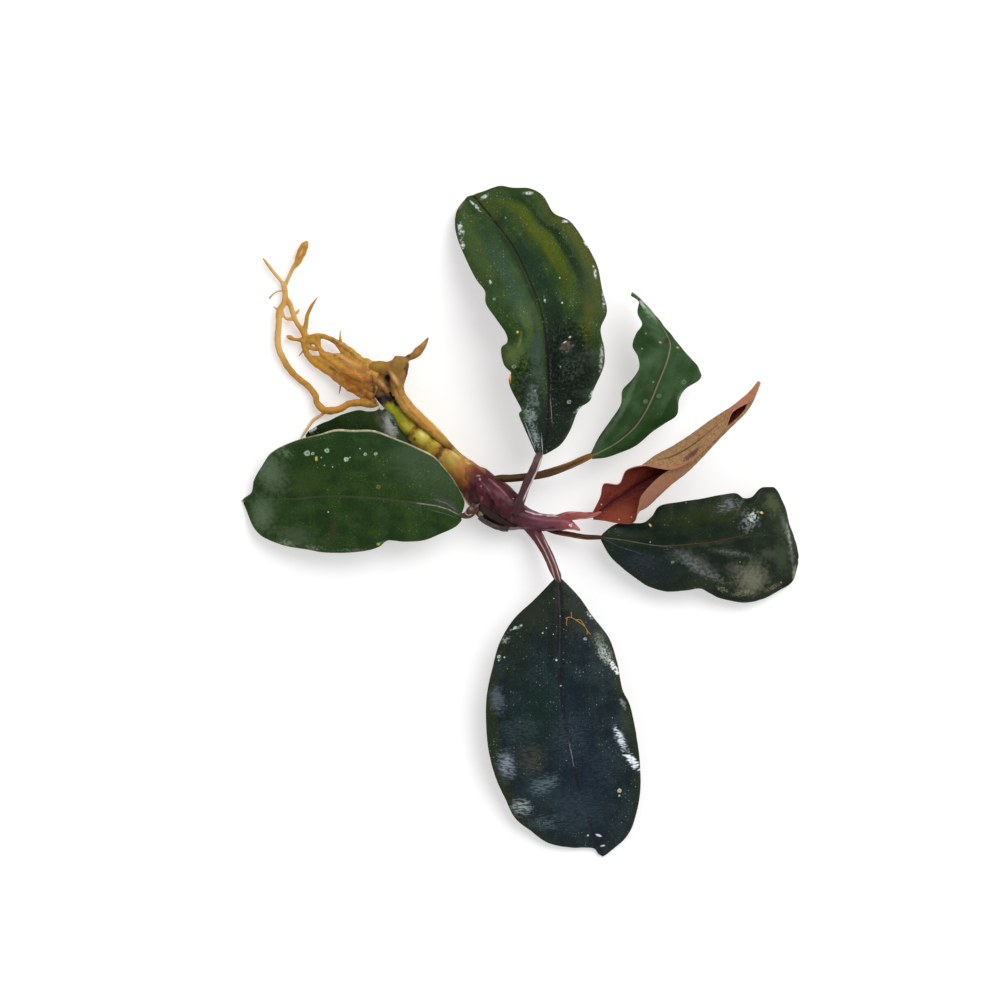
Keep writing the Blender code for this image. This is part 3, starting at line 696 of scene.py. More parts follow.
@dataclass(frozen=True)
class StemFinish:
    """How a stalk, root or rhizome looks along its length."""

    stops: tuple[tuple[float, Colour], ...]
    streak: Colour
    streak_strength: float = 0.4
    streaks_around: float = 6.0
    streak_length: float = 0.35
    mottle: float = 0.25
    roughness: float = 0.4
    coat: float = 0.2
    relief: float = 0.5
    marks: Marks = ()
    glow: float = 0.0

    def material(self, name: str, shelf: GroupShelf) -> bpy.types.Material:
        """Make the material, which reads the stem's own UV map and places in mm."""
        sheet = MaterialBench(name, shelf)
        shares = sheet.uv(LEAF_LAYER)
        along = sheet.add("ShaderNodeSeparateXYZ", {"Vector": shares}).outputs[1]
        wander = sheet.math("SUBTRACT", sheet.grain(Grain.MEDIUM), 0.5)
        shifted = sheet.math("MULTIPLY_ADD", wander, 0.05, along)
        colour = sheet.ramp(shifted, self.stops)
        drawn = sheet.add(
            "ShaderNodeMapping",
            {"Vector": sheet.uv(RIB_LAYER), "Scale": (self.streaks_around, self.streak_length, 1.0)},
        )
        lines = sheet.noise(drawn.outputs[0], 1.0, detail=3.0)
        share = sheet.math("MULTIPLY", sheet.step(lines, 0.5, 0.68), self.streak_strength)
        colour = sheet.mix(share, colour, self.streak)
        blotch = sheet.step(sheet.grain(Grain.MEDIUM), 0.62, 0.4)
        dark = sheet.math("MULTIPLY", blotch, self.mottle)
        colour = sheet.mix(dark, colour, tuple(part * 0.35 for part in self.streak))
        for mark in self.marks:
            colour = sheet.lay(mark, sheet.place, sheet.grain(mark.grain), colour)[0]
        skin = sheet.group(shelf.skin, place=sheet.place, grain=5.0, lump=1.2).outputs
        height = sheet.math("MULTIPLY_ADD", lines, 0.6, skin["Height"])
        rough = sheet.math("MULTIPLY_ADD", skin["Mottle"], 0.15, self.roughness)
        sheet.finish(colour, rough, height, self.relief, self.coat)
        sheet.shader.inputs["Subsurface Weight"].default_value = self.glow
        sheet.shader.inputs["Subsurface Scale"].default_value = 0.5 * MILLIMETRE
        return sheet.material


# Blades


@dataclass(frozen=True)
class Blade:
    """A leaf blade lofted through rails that run from its base to its tip.

    The rails go across so that the blade's upper side faces up, and midrib is the place
    of the midrib among them. A half of two rails bulges upwards by the camber.
    """

    name: str
    slot: str
    rails: tuple[Rail, ...]
    finish: LeafFinish
    midrib: int = 1
    camber: float = 0.5
    thickness: float = 0.34
    rows: int = 150
    strips: int = 30
    stationed: bool = False
    groove: float = 0.11
    quilting: float = 0.015
    crinkle: float = 0.10
    crinkle_size: float = 2.6
    seed: float = 0.0

    def half(self, rails: np.ndarray) -> np.ndarray:
        """Return the places across one half, from its first rail to its last."""
        share = np.linspace(0.0, 1.0, self.strips + 1)
        if len(rails) > 2:
            return smooth_curve(rails, share * (len(rails) - 1))
        share = share[:, None, None]
        places = rails[0] * (1.0 - share) + rails[1] * share
        along = np.sin(np.pi * np.linspace(0.0, 1.0, self.rows))
        places[:, :, 2] += self.camber * (4.0 * share * (1.0 - share))[:, :, 0] * along
        return places

    def smooth_places(self) -> np.ndarray:
        """Return the plain loft, rows by columns."""
        sampler = by_station if self.stationed else by_length
        sampled = np.array([sampler(rail, self.rows) for rail in self.rails])
        first = self.half(sampled[:self.midrib + 1])
        second = self.half(sampled[self.midrib:])
        return np.concatenate((first, second[1:])).transpose(1, 0, 2)

    def distances(self, places: np.ndarray) -> tuple[np.ndarray, np.ndarray]:
        """Return how far each place is across from the midrib and along from the base."""
        steps = np.linalg.norm(np.diff(places, axis=1), axis=2)
        across = np.concatenate((np.zeros((self.rows, 1)), np.cumsum(steps, axis=1)), axis=1)
        across -= across[:, self.strips:self.strips + 1]
        spine = np.linalg.norm(np.diff(places[:, self.strips], axis=0), axis=1)
        along = np.concatenate(([0.0], np.cumsum(spine)))[:, None] * np.ones_like(across)
        return across, along

    def relief(self, places: np.ndarray, across: np.ndarray, along: np.ndarray) -> np.ndarray:
        """Return how far the surface stands out: midrib groove, quilting and crinkles."""
        groove_width = 0.45
        out = np.abs(across)
        reach = np.maximum(out[:, :1], out[:, -1:]) + 0.01
        share = out / reach
        spacing = self.finish.vein_spacing
        wave = np.cos(math.tau * (along - self.finish.vein_slant * out ** 0.85) / spacing)
        fade = np.clip(share * 4.0, 0.0, 1.0) * (1.0 - share ** 3)
        height = -self.groove * bell(across, groove_width)
        height -= self.quilting * fade * wave
        height += self.crinkle * lumps(places, self.crinkle_size, self.seed)
        height += 0.3 * self.crinkle * lumps(places, 0.35 * self.crinkle_size, self.seed + 9.0)
        ends = np.clip(along / 3.0, 0.0, 1.0)
        return height * ends

    def surface(self) -> np.ndarray:
        """Return the middle of the blade with its relief, rows by columns."""
        places = self.smooth_places()
        across, along = self.distances(places)
        across_step = np.gradient(places, axis=1)
        along_step = np.gradient(places, axis=0)
        normals = np.cross(across_step, along_step)
        normals /= np.linalg.norm(normals, axis=2, keepdims=True) + 1e-12
        return places + normals * self.relief(places, across, along)[:, :, None]

    def build(self, shelf: GroupShelf) -> Piece:
        """Model the blade and dress it."""
        across, along = self.distances(self.smooth_places())
        places = self.surface()
        columns = 2 * self.strips + 1
        shares = np.stack(
            np.meshgrid(np.linspace(0.0, 1.0, columns), np.linspace(0.0, 1.0, self.rows)), axis=2
        )
        maps = {LEAF_LAYER: shares, RIB_LAYER: np.stack((across, along), axis=2)}
        piece = add_sheet(self.name, places, maps)
        for material in (self.finish.upper, self.finish.underside, self.finish.rim):
            piece.data.materials.append(material(self.name, shelf))
        self.thicken(piece, across)
        smooth_shade(piece, 70.0)
        return place_piece(piece, self.slot, [self.name])

    def thicken(self, piece: Piece, across: np.ndarray) -> None:
        """Give the sheet its thickness, greatest along the midrib and least at its margins."""
        out = np.abs(across)
        share = out / (np.maximum(out[:, :1], out[:, -1:]) + 0.01)
        weights = np.clip(0.75 * (1.0 - share ** 2) + 0.6 * bell(across, 0.8), 0.0, 1.0)
        group = piece.vertex_groups.new(name="thick")
        for index, weight in enumerate(weights.ravel()):
            group.add([index], float(weight), "REPLACE")
        apply_modifier(
            piece, "SOLIDIFY", thickness=self.thickness * MILLIMETRE, offset=0.0,
            vertex_group=group.name, thickness_vertex_group=0.5,
            material_offset=Face.UNDER.value, material_offset_rim=Face.RIM.value,
        )
        piece.vertex_groups.clear()


# Colours of painted glare and glints on the wet blades.
WHITE_GLARE: Colour = (620, 680, 660)
GREY_GLARE: Colour = (260, 310, 310)
YELLOW: Colour = (850, 550, 130)


def mark(
    x: float, y: float, across: float, up: float, colour: Colour, strength: float = 0.9,
    turn: float = 0.0, breakup: float = 0.25,
) -> Marks:
    """Return a mark, its turn in degrees."""
    return (Patch((x, y), (across, up), colour, strength, turn, breakup),)


def holed_sheen_or_mark(
    x: float, y: float, across: float, up: float, colour: Colour, strength: float,
    turn: float = 0.0, holes: float = 0.8, breakup: float = 0.5, softness: float = 0.9,
    grain: Grain = Grain.FLAKE,
) -> Marks:
    """Return a mark whose edge and holes can be set, its turn in degrees. It serves plain marks and
    painted sheen alike.
    """
    return (Patch((x, y), (across, up), colour, strength, turn, breakup, grain, softness, holes),)


def glare_and_marks(
    x: float, y: float, across: float, up: float, turn: float = 0.0, strength: float = 0.8,
    colour: Colour = WHITE_GLARE, grain: Grain = Grain.FLAKE,
) -> Marks:
    """Return a crackled pale patch of painted glare, as off a wet shine."""
    return holed_sheen_or_mark(x, y, across, up, colour, strength, turn, 0.75, 0.45, 0.85, grain)


def glare(
    x: float, y: float, across: float, up: float, turn: float, colour: Colour,
    strength: float = 0.8,
) -> Marks:
    """Return a shine that is broken by fine wrinkles across the blade."""
    return holed_sheen_or_mark(x, y, across, up, colour, strength, turn, 0.85, 0.4, 0.9, Grain.RIPPLE)


def cloud(
    x: float, y: float, across: float, up: float, colour: Colour, strength: float = 0.6,
    turn: float = 0.0,
) -> Marks:
    """Return a broad soft change of colour."""
    return holed_sheen_or_mark(x, y, across, up, colour, strength, turn, 0.0, 0.3, 0.9, Grain.MEDIUM)


def trail(
    points: Sequence[tuple[float, float]], width: float, colour: Colour, strength: float = 0.7,
    breakup: float = 0.25,
) -> Marks:
    """Return a soft stripe of colour along a line of points in mm."""
    overlap = 0.95
    pieces = []
    for (x, y), (next_x, next_y) in zip(points, points[1:]):
        length = math.hypot(next_x - x, next_y - y)
        turn = math.degrees(math.atan2(next_y - y, next_x - x))
        pieces.append(Patch(
            ((x + next_x) / 2, (y + next_y) / 2), (overlap * length, width), colour, strength,
            turn, breakup, Grain.MEDIUM, 0.85,
        ))
    return tuple(pieces)


def droplet_glint(x: float, y: float, size: float, colour: Colour, core: Colour) -> Marks:
    """Return a painted water droplet, in mm: a small pale ring of painted reflection round a darker core.
    """
    return (
        Patch((x, y), (size, 0.9 * size), colour, 0.8, 20.0, 0.3, Grain.FINE, 0.4),
        Patch((x + 0.1 * size, y), (0.5 * size, 0.5 * size), core, 0.85, 0.0, 0.2, Grain.FINE, 0.6),
    )


def spot(x: float, y: float, size: float, colour: Colour = WHITE_GLARE, strength: float = 0.85) -> Marks:
    """Return a small round spot, in mm. In its white default colour it is a painted glint."""
    return (Patch((x, y), (size, size), colour, strength, breakup=0.12, softness=0.6),)


def band(
    across: float, along: float, width: float, length: float, colour: Colour,
    strength: float = 0.8,
) -> Marks:
    """Return a stretch of colour that follows the blade, in shares of its width and length."""
    return (Patch((across, along), (width, length), colour, strength, breakup=0.25, softness=0.75),)


def paint(*items: Union[Callable[..., Marks], tuple]) -> Marks:
    """Return the marks of a list in which each maker is followed by its rows of values."""
    laid: list[Patch] = []
    for item in items:
        if callable(item):
            maker = item
        else:
            laid += maker(*item)
    return tuple(laid)


# Large wavy blade


TOP_LEFT_MARGIN: Rail = (
    (7.2, 7.1, 7.3), (5.6, 10.7, 8.6), (4.6, 13.1, 9.6), (5, 13.9, 9.2), (3.4, 17.1, 9.6), (3, 18.7, 10),
    (3.4, 19.8, 9.2), (2.2, 21.1, 10.2), (1.8, 23.5, 9.6), (2.7, 24.5, 8.6), (2.6, 25.9, 9.2),
    (1, 28.3, 9), (-0.6, 30.7, 8.6), (-0.8, 32.8, 7.6), (-2.2, 34.7, 7), (-3.8, 37.9, 5.6),
    (-5.1, 41.1, 3.9), (-5.6, 43.5, 2.6), (-5.3, 45.9, 1.5), (-3.7, 48.2, 0.5),
)
TOP_MIDRIB: Rail = (
    (8, 6.7, 7.3), (9, 9.9, 7.8), (9.3, 15.5, 8.6), (9.1, 21.9, 8.8), (8.2, 29.1, 8), (6.2, 34.7, 6.8),
    (3.8, 39.8, 4.9), (0.6, 44.3, 2.7), (-2.8, 48.5, 0.35),
)
TOP_RIGHT_MARGIN: Rail = (
    (8.8, 6.8, 7.3), (11.2, 8.3, 7.7), (12.8, 10.7, 8.3), (14.1, 13.9, 8), (16, 15.5, 9.3),
    (16.6, 17.4, 8.5), (18.1, 20.8, 9.2), (18.2, 23.5, 8.2), (17.6, 26.7, 8.8), (18.6, 29.6, 8.4),
    (17.8, 33.4, 7.6), (17, 37.1, 7.2), (14.9, 41.1, 6), (12.8, 44, 5.4), (10.2, 45.4, 4.2),
    (8.5, 48.2, 3.7), (6.4, 49.4, 2.7), (3.5, 49.6, 2), (1.3, 49.9, 1.2), (-1.7, 48.8, 0.5),
)
NEAR_BLACK: Colour = (10, 15, 12)
TOP_FINISH = LeafFinish(
    dark=(18, 42, 12), body=(34, 64, 16), midrib=(14, 8, 9), vein=(22, 42, 18), margin=(56, 44, 12),
    edge=(100, 48, 18), under=(90, 60, 50), under_vein=(160, 60, 60),
    bands=paint(
        band, (0.14, 0.8, 0.16, 0.26, (44, 74, 20), 0.85), (0.3, 0.62, 0.13, 0.3, (27, 60, 33)),
        (0.3, 0.47, 0.09, 0.12, (52, 94, 20)), (0.2, 0.36, 0.08, 0.08, (56, 98, 18), 0.75),
        (0.6, 0.95, 0.32, 0.1, (46, 66, 12), 0.85), (0.46, 0.7, 0.035, 0.28, (12, 26, 10), 0.85),
        (0.57, 0.64, 0.07, 0.26, (12, 31, 19), 0.85), (0.755, 0.72, 0.1, 0.28, (50, 72, 6), 1),
        (0.74, 0.76, 0.08, 0.2, (76, 98, 10), 0.65), (0.85, 0.66, 0.042, 0.3, (10, 22, 6), 0.9),
        (0.955, 0.64, 0.065, 0.26, (58, 66, 6), 0.95), (0.86, 0.42, 0.07, 0.15, (56, 62, 5), 0.9),
        holed_sheen_or_mark, (0.5, 0.04, 0.7, 0.22, NEAR_BLACK, 0.95, 0, 0, 0.2, 0.5, Grain.FINE),
        (0.74, 0.2, 0.3, 0.27, (11, 19, 12), 0.95, 0, 0, 0.2, 0.5, Grain.FINE),
        (0.6, 0.38, 0.12, 0.2, (13, 22, 14), 0.9, 0, 0, 0.2, 0.6, Grain.FINE),
        band, (0.3, 0.22, 0.16, 0.16, (15, 26, 16), 0.85), (0.52, 0.25, 0.05, 0.24, (8, 10, 10), 0.9),
        (0.52, 0.26, 0.024, 0.25, (46, 40, 46), 0.9), (0.514, 0.26, 0.007, 0.25, (9, 7, 9), 0.9),
    ),
    marks=paint(
        cloud, (3.6, 22.4, 1.6, 3, (85, 110, 36), 0.7, 8), (4.8, 25, 0.4, 2, (130, 170, 50), 0.6, -12),
        (5.6, 17, 1.9, 3.6, (30, 43, 28), 0.85, 12), (7.4, 23.6, 1.2, 4.6, (26, 48, 36), 0.7, 4),
        (13, 20.2, 2.8, 3, (36, 49, 38), 0.85),
        holed_sheen_or_mark, (12.4, 21, 4.6, 9, (4, 7, 5), 0.85, 0, 1, 0.2, 0.5),
        (5.6, 18.2, 2.5, 5.6, (5, 9, 6), 0.8, 0, 1, 0.2, 0.5),
        cloud, (6.9, 9.8, 1.6, 3.4, (12, 20, 17), 0.9, 18), (12.2, 10, 0.4, 2, (40, 50, 48), 0.6, -45),
        # The next three are painted sheen and glints of a wet shine at the left of the base.
        holed_sheen_or_mark, (6.9, 15.4, 1.4, 3.8, (100, 135, 120), 0.85, 0, 0.6),
        (6.4, 12.9, 1.3, 1.9, (190, 240, 225), 0.9, 10, 0.6),
        (7.2, 9.6, 0.8, 2.6, (240, 300, 280), 0.85, 15, 0.6, 0.5, 0.9, Grain.FINE),
        (7.6, 20.2, 1.2, 4, (48, 70, 56), 0.65, 5, 0.9, 0.5, 0.7),
        # A thin painted highlight along the edge of the midrib.
        mark, (9.75, 13.8, 0.08, 3, (260, 270, 300), 0.75, 4),
        # Painted glare in crackled patches, mostly along the margins.
        glare_and_marks, (-4.7, 42.8, 0.55, 1.3, 8, 0.9), (-4.4, 40.3, 0.4, 1.2, 12),
        (-2.4, 46.8, 0.28, 1.5, 45, 0.9), (-0.9, 48.2, 0.9, 0.35, 30, 0.7), (6, 48.7, 1.1, 0.35),
        (12.1, 44, 0.8, 0.3, 0, 0.9), (15.4, 40.4, 0.35, 0.9, 35, 0.9), (16.7, 35.9, 0.3, 1.3, 10, 0.9),
        (18.1, 31.3, 0.3, 2.2, 5, 0.6), (17.7, 22, 0.35, 3.4, -5, 0.45), (16.4, 16.6, 0.45, 1.5, -30),
        (14.2, 14, 0.3, 1.3, -55), (0.1, 34.2, 0.25, 0.5, 20),
        (12.2, 23.8, 1.4, 1.2, 0, 0.5, (200, 200, 180)), (8.7, 31.4, 0.2, 0.6, 12),
        holed_sheen_or_mark, (12, 23.9, 0.6, 0.7, (85, 34, 22), 0.85, 0, 0),
        mark, (11.9, 24.6, 0.45, 0.16, (620, 580, 520), 0.95, 30),
        (12.7, 25.4, 0.3, 0.2, (620, 580, 520), 0.95, 40),
        holed_sheen_or_mark, (-4.5, 46.9, 0.3, 1.1, (160, 100, 70), 0.85, -32, 0),
        mark, (-4.9, 46.3, 0.14, 0.4, (240, 45, 20), 0.7, -10), (3.2, 19, 0.2, 1.2, (850, 320, 50)),
        # The two thin pale lines on the next row are painted highlights at the base.
        (8.3, 8.4, 0.09, 2.4, (400, 440, 450), 0.75, 4), (6.3, 9.9, 0.12, 3.2, (400, 450, 430), 0.75, 21),
        spot, (4.4, 26.2, 0.26, YELLOW),
        # Painted droplets and the pale spots after them: painted reflections and glints of water.
        droplet_glint, (12.6, 15.1, 0.42, (300, 360, 350), NEAR_BLACK),
        (3.8, 20.7, 0.42, (240, 320, 260), (30, 50, 30)), (0.7, 31.5, 0.3, (220, 300, 240), (30, 60, 30)),
        spot, (11.5, 30.9, 0.2), (11.1, 34.9, 0.15), (2.5, 44.7, 0.22, GREY_GLARE, 0.6),
        (11.2, 20.7, 0.18, GREY_GLARE), (7.2, 16.9, 0.22, GREY_GLARE),
    ),
    speckles=(
        Speckle(3.4, 0.22, 0.5, (110, 150, 80), 0.6), Speckle(1.9, 0.13, 0.3, (340, 400, 330), 0.7),
    ),
    midrib_strength=0.9, margin_width=0.4, vein_strength=0.1, roughness=0.34, coat=0.04,
)


# Broad dark blade


BOTTOM_LEFT_MARGIN: Rail = (
    (10.35, -13, 5.2), (7, -16.5, 5.4), (3.8, -19.5, 5.6), (1.6, -23.2, 5.3), (0.5, -26.9, 5),
    (-0.5, -31.7, 5.2), (-0.6, -36.5, 4.6), (-0.2, -40.5, 4.3), (0.8, -44.6, 3.6), (2.4, -48.2, 3),
    (4, -51.4, 2.3), (6.6, -53.6, 1.8), (9.3, -55.5, 1.3), (13.1, -56.3, 0.9), (16.5, -56.2, 0.6),
    (17.3, -57.2, 0.35),
)
BOTTOM_MIDRIB: Rail = (
    (10.9, -12.9, 5.2), (11.1, -16.5, 5.7), (10.9, -22.9, 6.3), (11.2, -30.1, 6.3), (12.5, -38.9, 5.4),
    (13.9, -45.3, 4), (15.7, -51.7, 2.3), (18.1, -57.8, 0.27),
)
BOTTOM_RIGHT_MARGIN: Rail = (
    (11.5, -13.1, 5.2), (14.4, -16.2, 5.2), (16.3, -19, 5.2), (18.9, -22.4, 5.4), (20.3, -26.4, 5),
    (21.1, -30.6, 5.2), (22.4, -33.4, 4.6), (23.4, -38.1, 4.4), (24, -42.9, 3.8), (24, -47.7, 3),
    (23, -52.3, 2), (21.6, -54.9, 1.1), (19.1, -57.1, 0.35),
)
BOTTOM_FINISH = LeafFinish(
    dark=(9, 16, 20), body=(16, 28, 31), midrib=(13, 12, 16), vein=(12, 20, 24), margin=(26, 34, 14),
    edge=(60, 46, 24), under=(80, 55, 50), under_vein=(150, 55, 60),
    bands=paint(
        band, (0.45, 0.66, 0.28, 0.36, (11, 19, 31)), (0.65, 0.45, 0.2, 0.18, (10, 24, 18), 0.7),
        (0.85, 0.22, 0.2, 0.2, (16, 24, 14), 0.7), (0.97, 0.55, 0.07, 0.55, (20, 29, 12), 0.85),
        (0.03, 0.55, 0.06, 0.55, (18, 26, 12), 0.85),
        mark, (0.5, 0.06, 0.8, 0.24, (15, 20, 13), 0.9, 0, 0.2),
        band, (0.5, 0.14, 0.14, 0.2, (8, 12, 12)),
    ),
    marks=paint(
        cloud, (6.8, -18.6, 3.4, 3.6, (20, 26, 16), 0.85, -40),
        (14.6, -18.4, 2.4, 3.8, (18, 24, 15), 0.85),
        trail, (((10.85, -13.8), (11.15, -18.5), (11.1, -22.5), (10.95, -27)), 0.34, (36, 33, 39), 0.75),
        (((10.8, -15), (10.9, -20), (10.85, -25)), 0.14, (7, 7, 9), 0.85, 0.1),
        # The bluish clouds by the left margin are painted sheen beneath the glare there.
        cloud, (6.4, -41.8, 3.4, 4.4, (28, 30, 24), 0.5), (1, -32.2, 1.3, 2.8, (72, 90, 110), 0.7),
        (2.4, -43, 1.9, 3.4, (60, 76, 92), 0.7), (7.8, -47.2, 5, 3.4, (22, 35, 42), 0.6, -30),
        (14.6, -49.6, 7, 4.6, (14, 25, 32), 0.7), (19.4, -24.8, 1.4, 3.4, (34, 42, 32), 0.7, 25),
        (21.6, -36, 1.2, 3.4, (34, 42, 28), 0.6, 15),
        glare, (2.6, -42.8, 1.6, 2.8, 15, (240, 290, 340)), (5, -49.7, 2, 1.8, 0, (300, 360, 370), 0.85),
        (8.6, -46, 3.2, 1.8, 25, (120, 170, 200), 0.65), (8.8, -52.2, 3.4, 1.8, 0, (75, 115, 140), 0.55),
        (6.6, -42, 3.2, 3.6, 0, (90, 88, 70), 0.34), (4.6, -37, 4.6, 2.6, 0, (50, 75, 80), 0.4),
        (1.1, -32.4, 1.6, 3, 5, (110, 140, 170), 0.5), (13, -38.6, 4, 5.4, 0, (40, 56, 70), 0.5),
        (14, -50, 6.6, 4.6, 0, (40, 64, 80), 0.4), (18.4, -42.6, 4, 5.2, 0, (34, 52, 66), 0.4),
        (20.9, -38.8, 0.9, 3, 24, (300, 370, 420), 0.75),
        # Pale rippled patches by the right margin: painted glare.
        holed_sheen_or_mark, (20.8, -38.6, 0.55, 2.2, (660, 740, 780), 0.9, 24, 0.7, 0.6, 0.8, Grain.RIPPLE),
        (22.8, -42.3, 0.75, 2.3, (860, 920, 980), 0.98, 42, 0.5, 0.6, 0.7, Grain.RIPPLE),
        (20, -27.4, 0.5, 2, (760, 800, 780), 0.95, 38, 0.8, 0.6, 0.7),
        # Crackled pale patches: painted glare.
        glare_and_marks, (18.3, -25, 1.2, 2.3, 30, 0.85, (440, 480, 420), Grain.FINE),
        (17.4, -22.8, 1.3, 1.7, 20, 0.5, (220, 250, 180), Grain.FINE),
        (15.9, -18.9, 0.35, 1, 35, 0.95, (600, 660, 620)),
        (4.3, -20.8, 1.2, 0.32, 22, 0.95, (500, 580, 540)),
        (2.4, -22.8, 0.9, 0.8, 22, 0.6, (360, 420, 400)),
        # Pale specks at the tip: painted glints.
        holed_sheen_or_mark, (17.4, -54.3, 0.65, 0.22, (720, 800, 800), 0.9, -20, 0, 0.3, 0.5, Grain.FINE),
        (18.1, -56, 0.5, 0.18, (620, 660, 560), 0.9, 12, 0, 0.3, 0.5, Grain.FINE),
        # Painted glare in a grey patch by the right margin.
        glare_and_marks, (21.2, -33, 0.5, 1.3, 30, 0.6, GREY_GLARE),
        # A thin painted highlight along the midrib.
        trail, (((12.7, -39.6), (13.1, -41.4), (13.4, -43.2)), 0.1, (220, 250, 270), 0.7, 0.5),
        # Painted droplets and the pale spots after them: painted reflections and glints of water.
        droplet_glint, (20.7, -47, 0.42, (560, 580, 380), (200, 240, 160)),
        spot, (20.7, -47.8, 0.2), (15.7, -54.3, 0.2),
        droplet_glint, (1.4, -25.5, 0.36, (620, 660, 520), (160, 180, 80)),
        spot, (2.3, -25.6, 0.18), (1.4, -26.1, 0.18), (10.6, -26, 0.22), (8.4, -21.7, 0.16),
        droplet_glint, (15.2, -22.6, 0.32, (460, 400, 400), (160, 130, 130)),
        spot, (11.3, -30.1, 0.15), (9, -20.9, 0.12), (10.1, -21.9, 0.12), (10.2, -16.2, 0.1),
        (11.2, -19, 0.1), (12.2, -42.1, 0.12, GREY_GLARE),
    ),
    speckles=(
        Speckle(3.2, 0.25, 0.55, (40, 62, 62), 0.65), Speckle(1.9, 0.14, 0.34, (300, 360, 350), 0.75),
    ),
    midrib_width=0.4, midrib_strength=0.7, mottle=0.34, margin_width=0.4, vein_strength=0.06,
    roughness=0.34, coat=0.04,
)


# Oval blade on the left, and the one under it


LEFT_UPPER_MARGIN: Rail = (
    (-4.4, -2.2, 5.5), (-4.1, -1.3, 5.6), (-4.2, -0.3, 5.8), (-5.6, 2.4, 6.1), (-7.2, 4.6, 6.3),
    (-9.1, 6.6, 6.1), (-11.8, 8, 6.3), (-15, 9.3, 6.7), (-18.4, 10.6, 6.5), (-21.8, 10.7, 6.6),
    (-24.6, 10.8, 6), (-27, 10.1, 5.9), (-30.1, 9.3, 5.1), (-33.1, 8.2, 4.2), (-35.2, 6.9, 3.4),
    (-36.6, 4.8, 2.6), (-37.9, 2.6, 1.7), (-38.1, 0.8, 1.1), (-39.3, -0.1, 0.4),
)
LEFT_MIDRIB: Rail = (
    (-4.7, -2.8, 5.5), (-8, -1.4, 6.2), (-14.4, -0.6, 7.2), (-20.8, 0, 7.1), (-26.4, 0.1, 6),
    (-31.2, -0.3, 4.4), (-35.2, -0.4, 2.7), (-40, -0.6, 0.27),
)
LEFT_LOWER_MARGIN: Rail = (
    (-4.5, -3.7, 5.4), (-5.6, -4.8, 5.4), (-8, -5.9, 5.8), (-10.6, -6.9, 5.4), (-13.6, -7.1, 5.8),
    (-16.3, -6.9, 5.2), (-17.9, -8, 5.6), (-20.8, -8.7, 5.2), (-25.6, -8.9, 4.6), (-29.1, -8.4, 4.3),
    (-32.8, -7.8, 3.4), (-36, -6.6, 2.6), (-37.6, -5.3, 1.9), (-38.6, -3.4, 1.1), (-39.4, -1.2, 0.4),
)
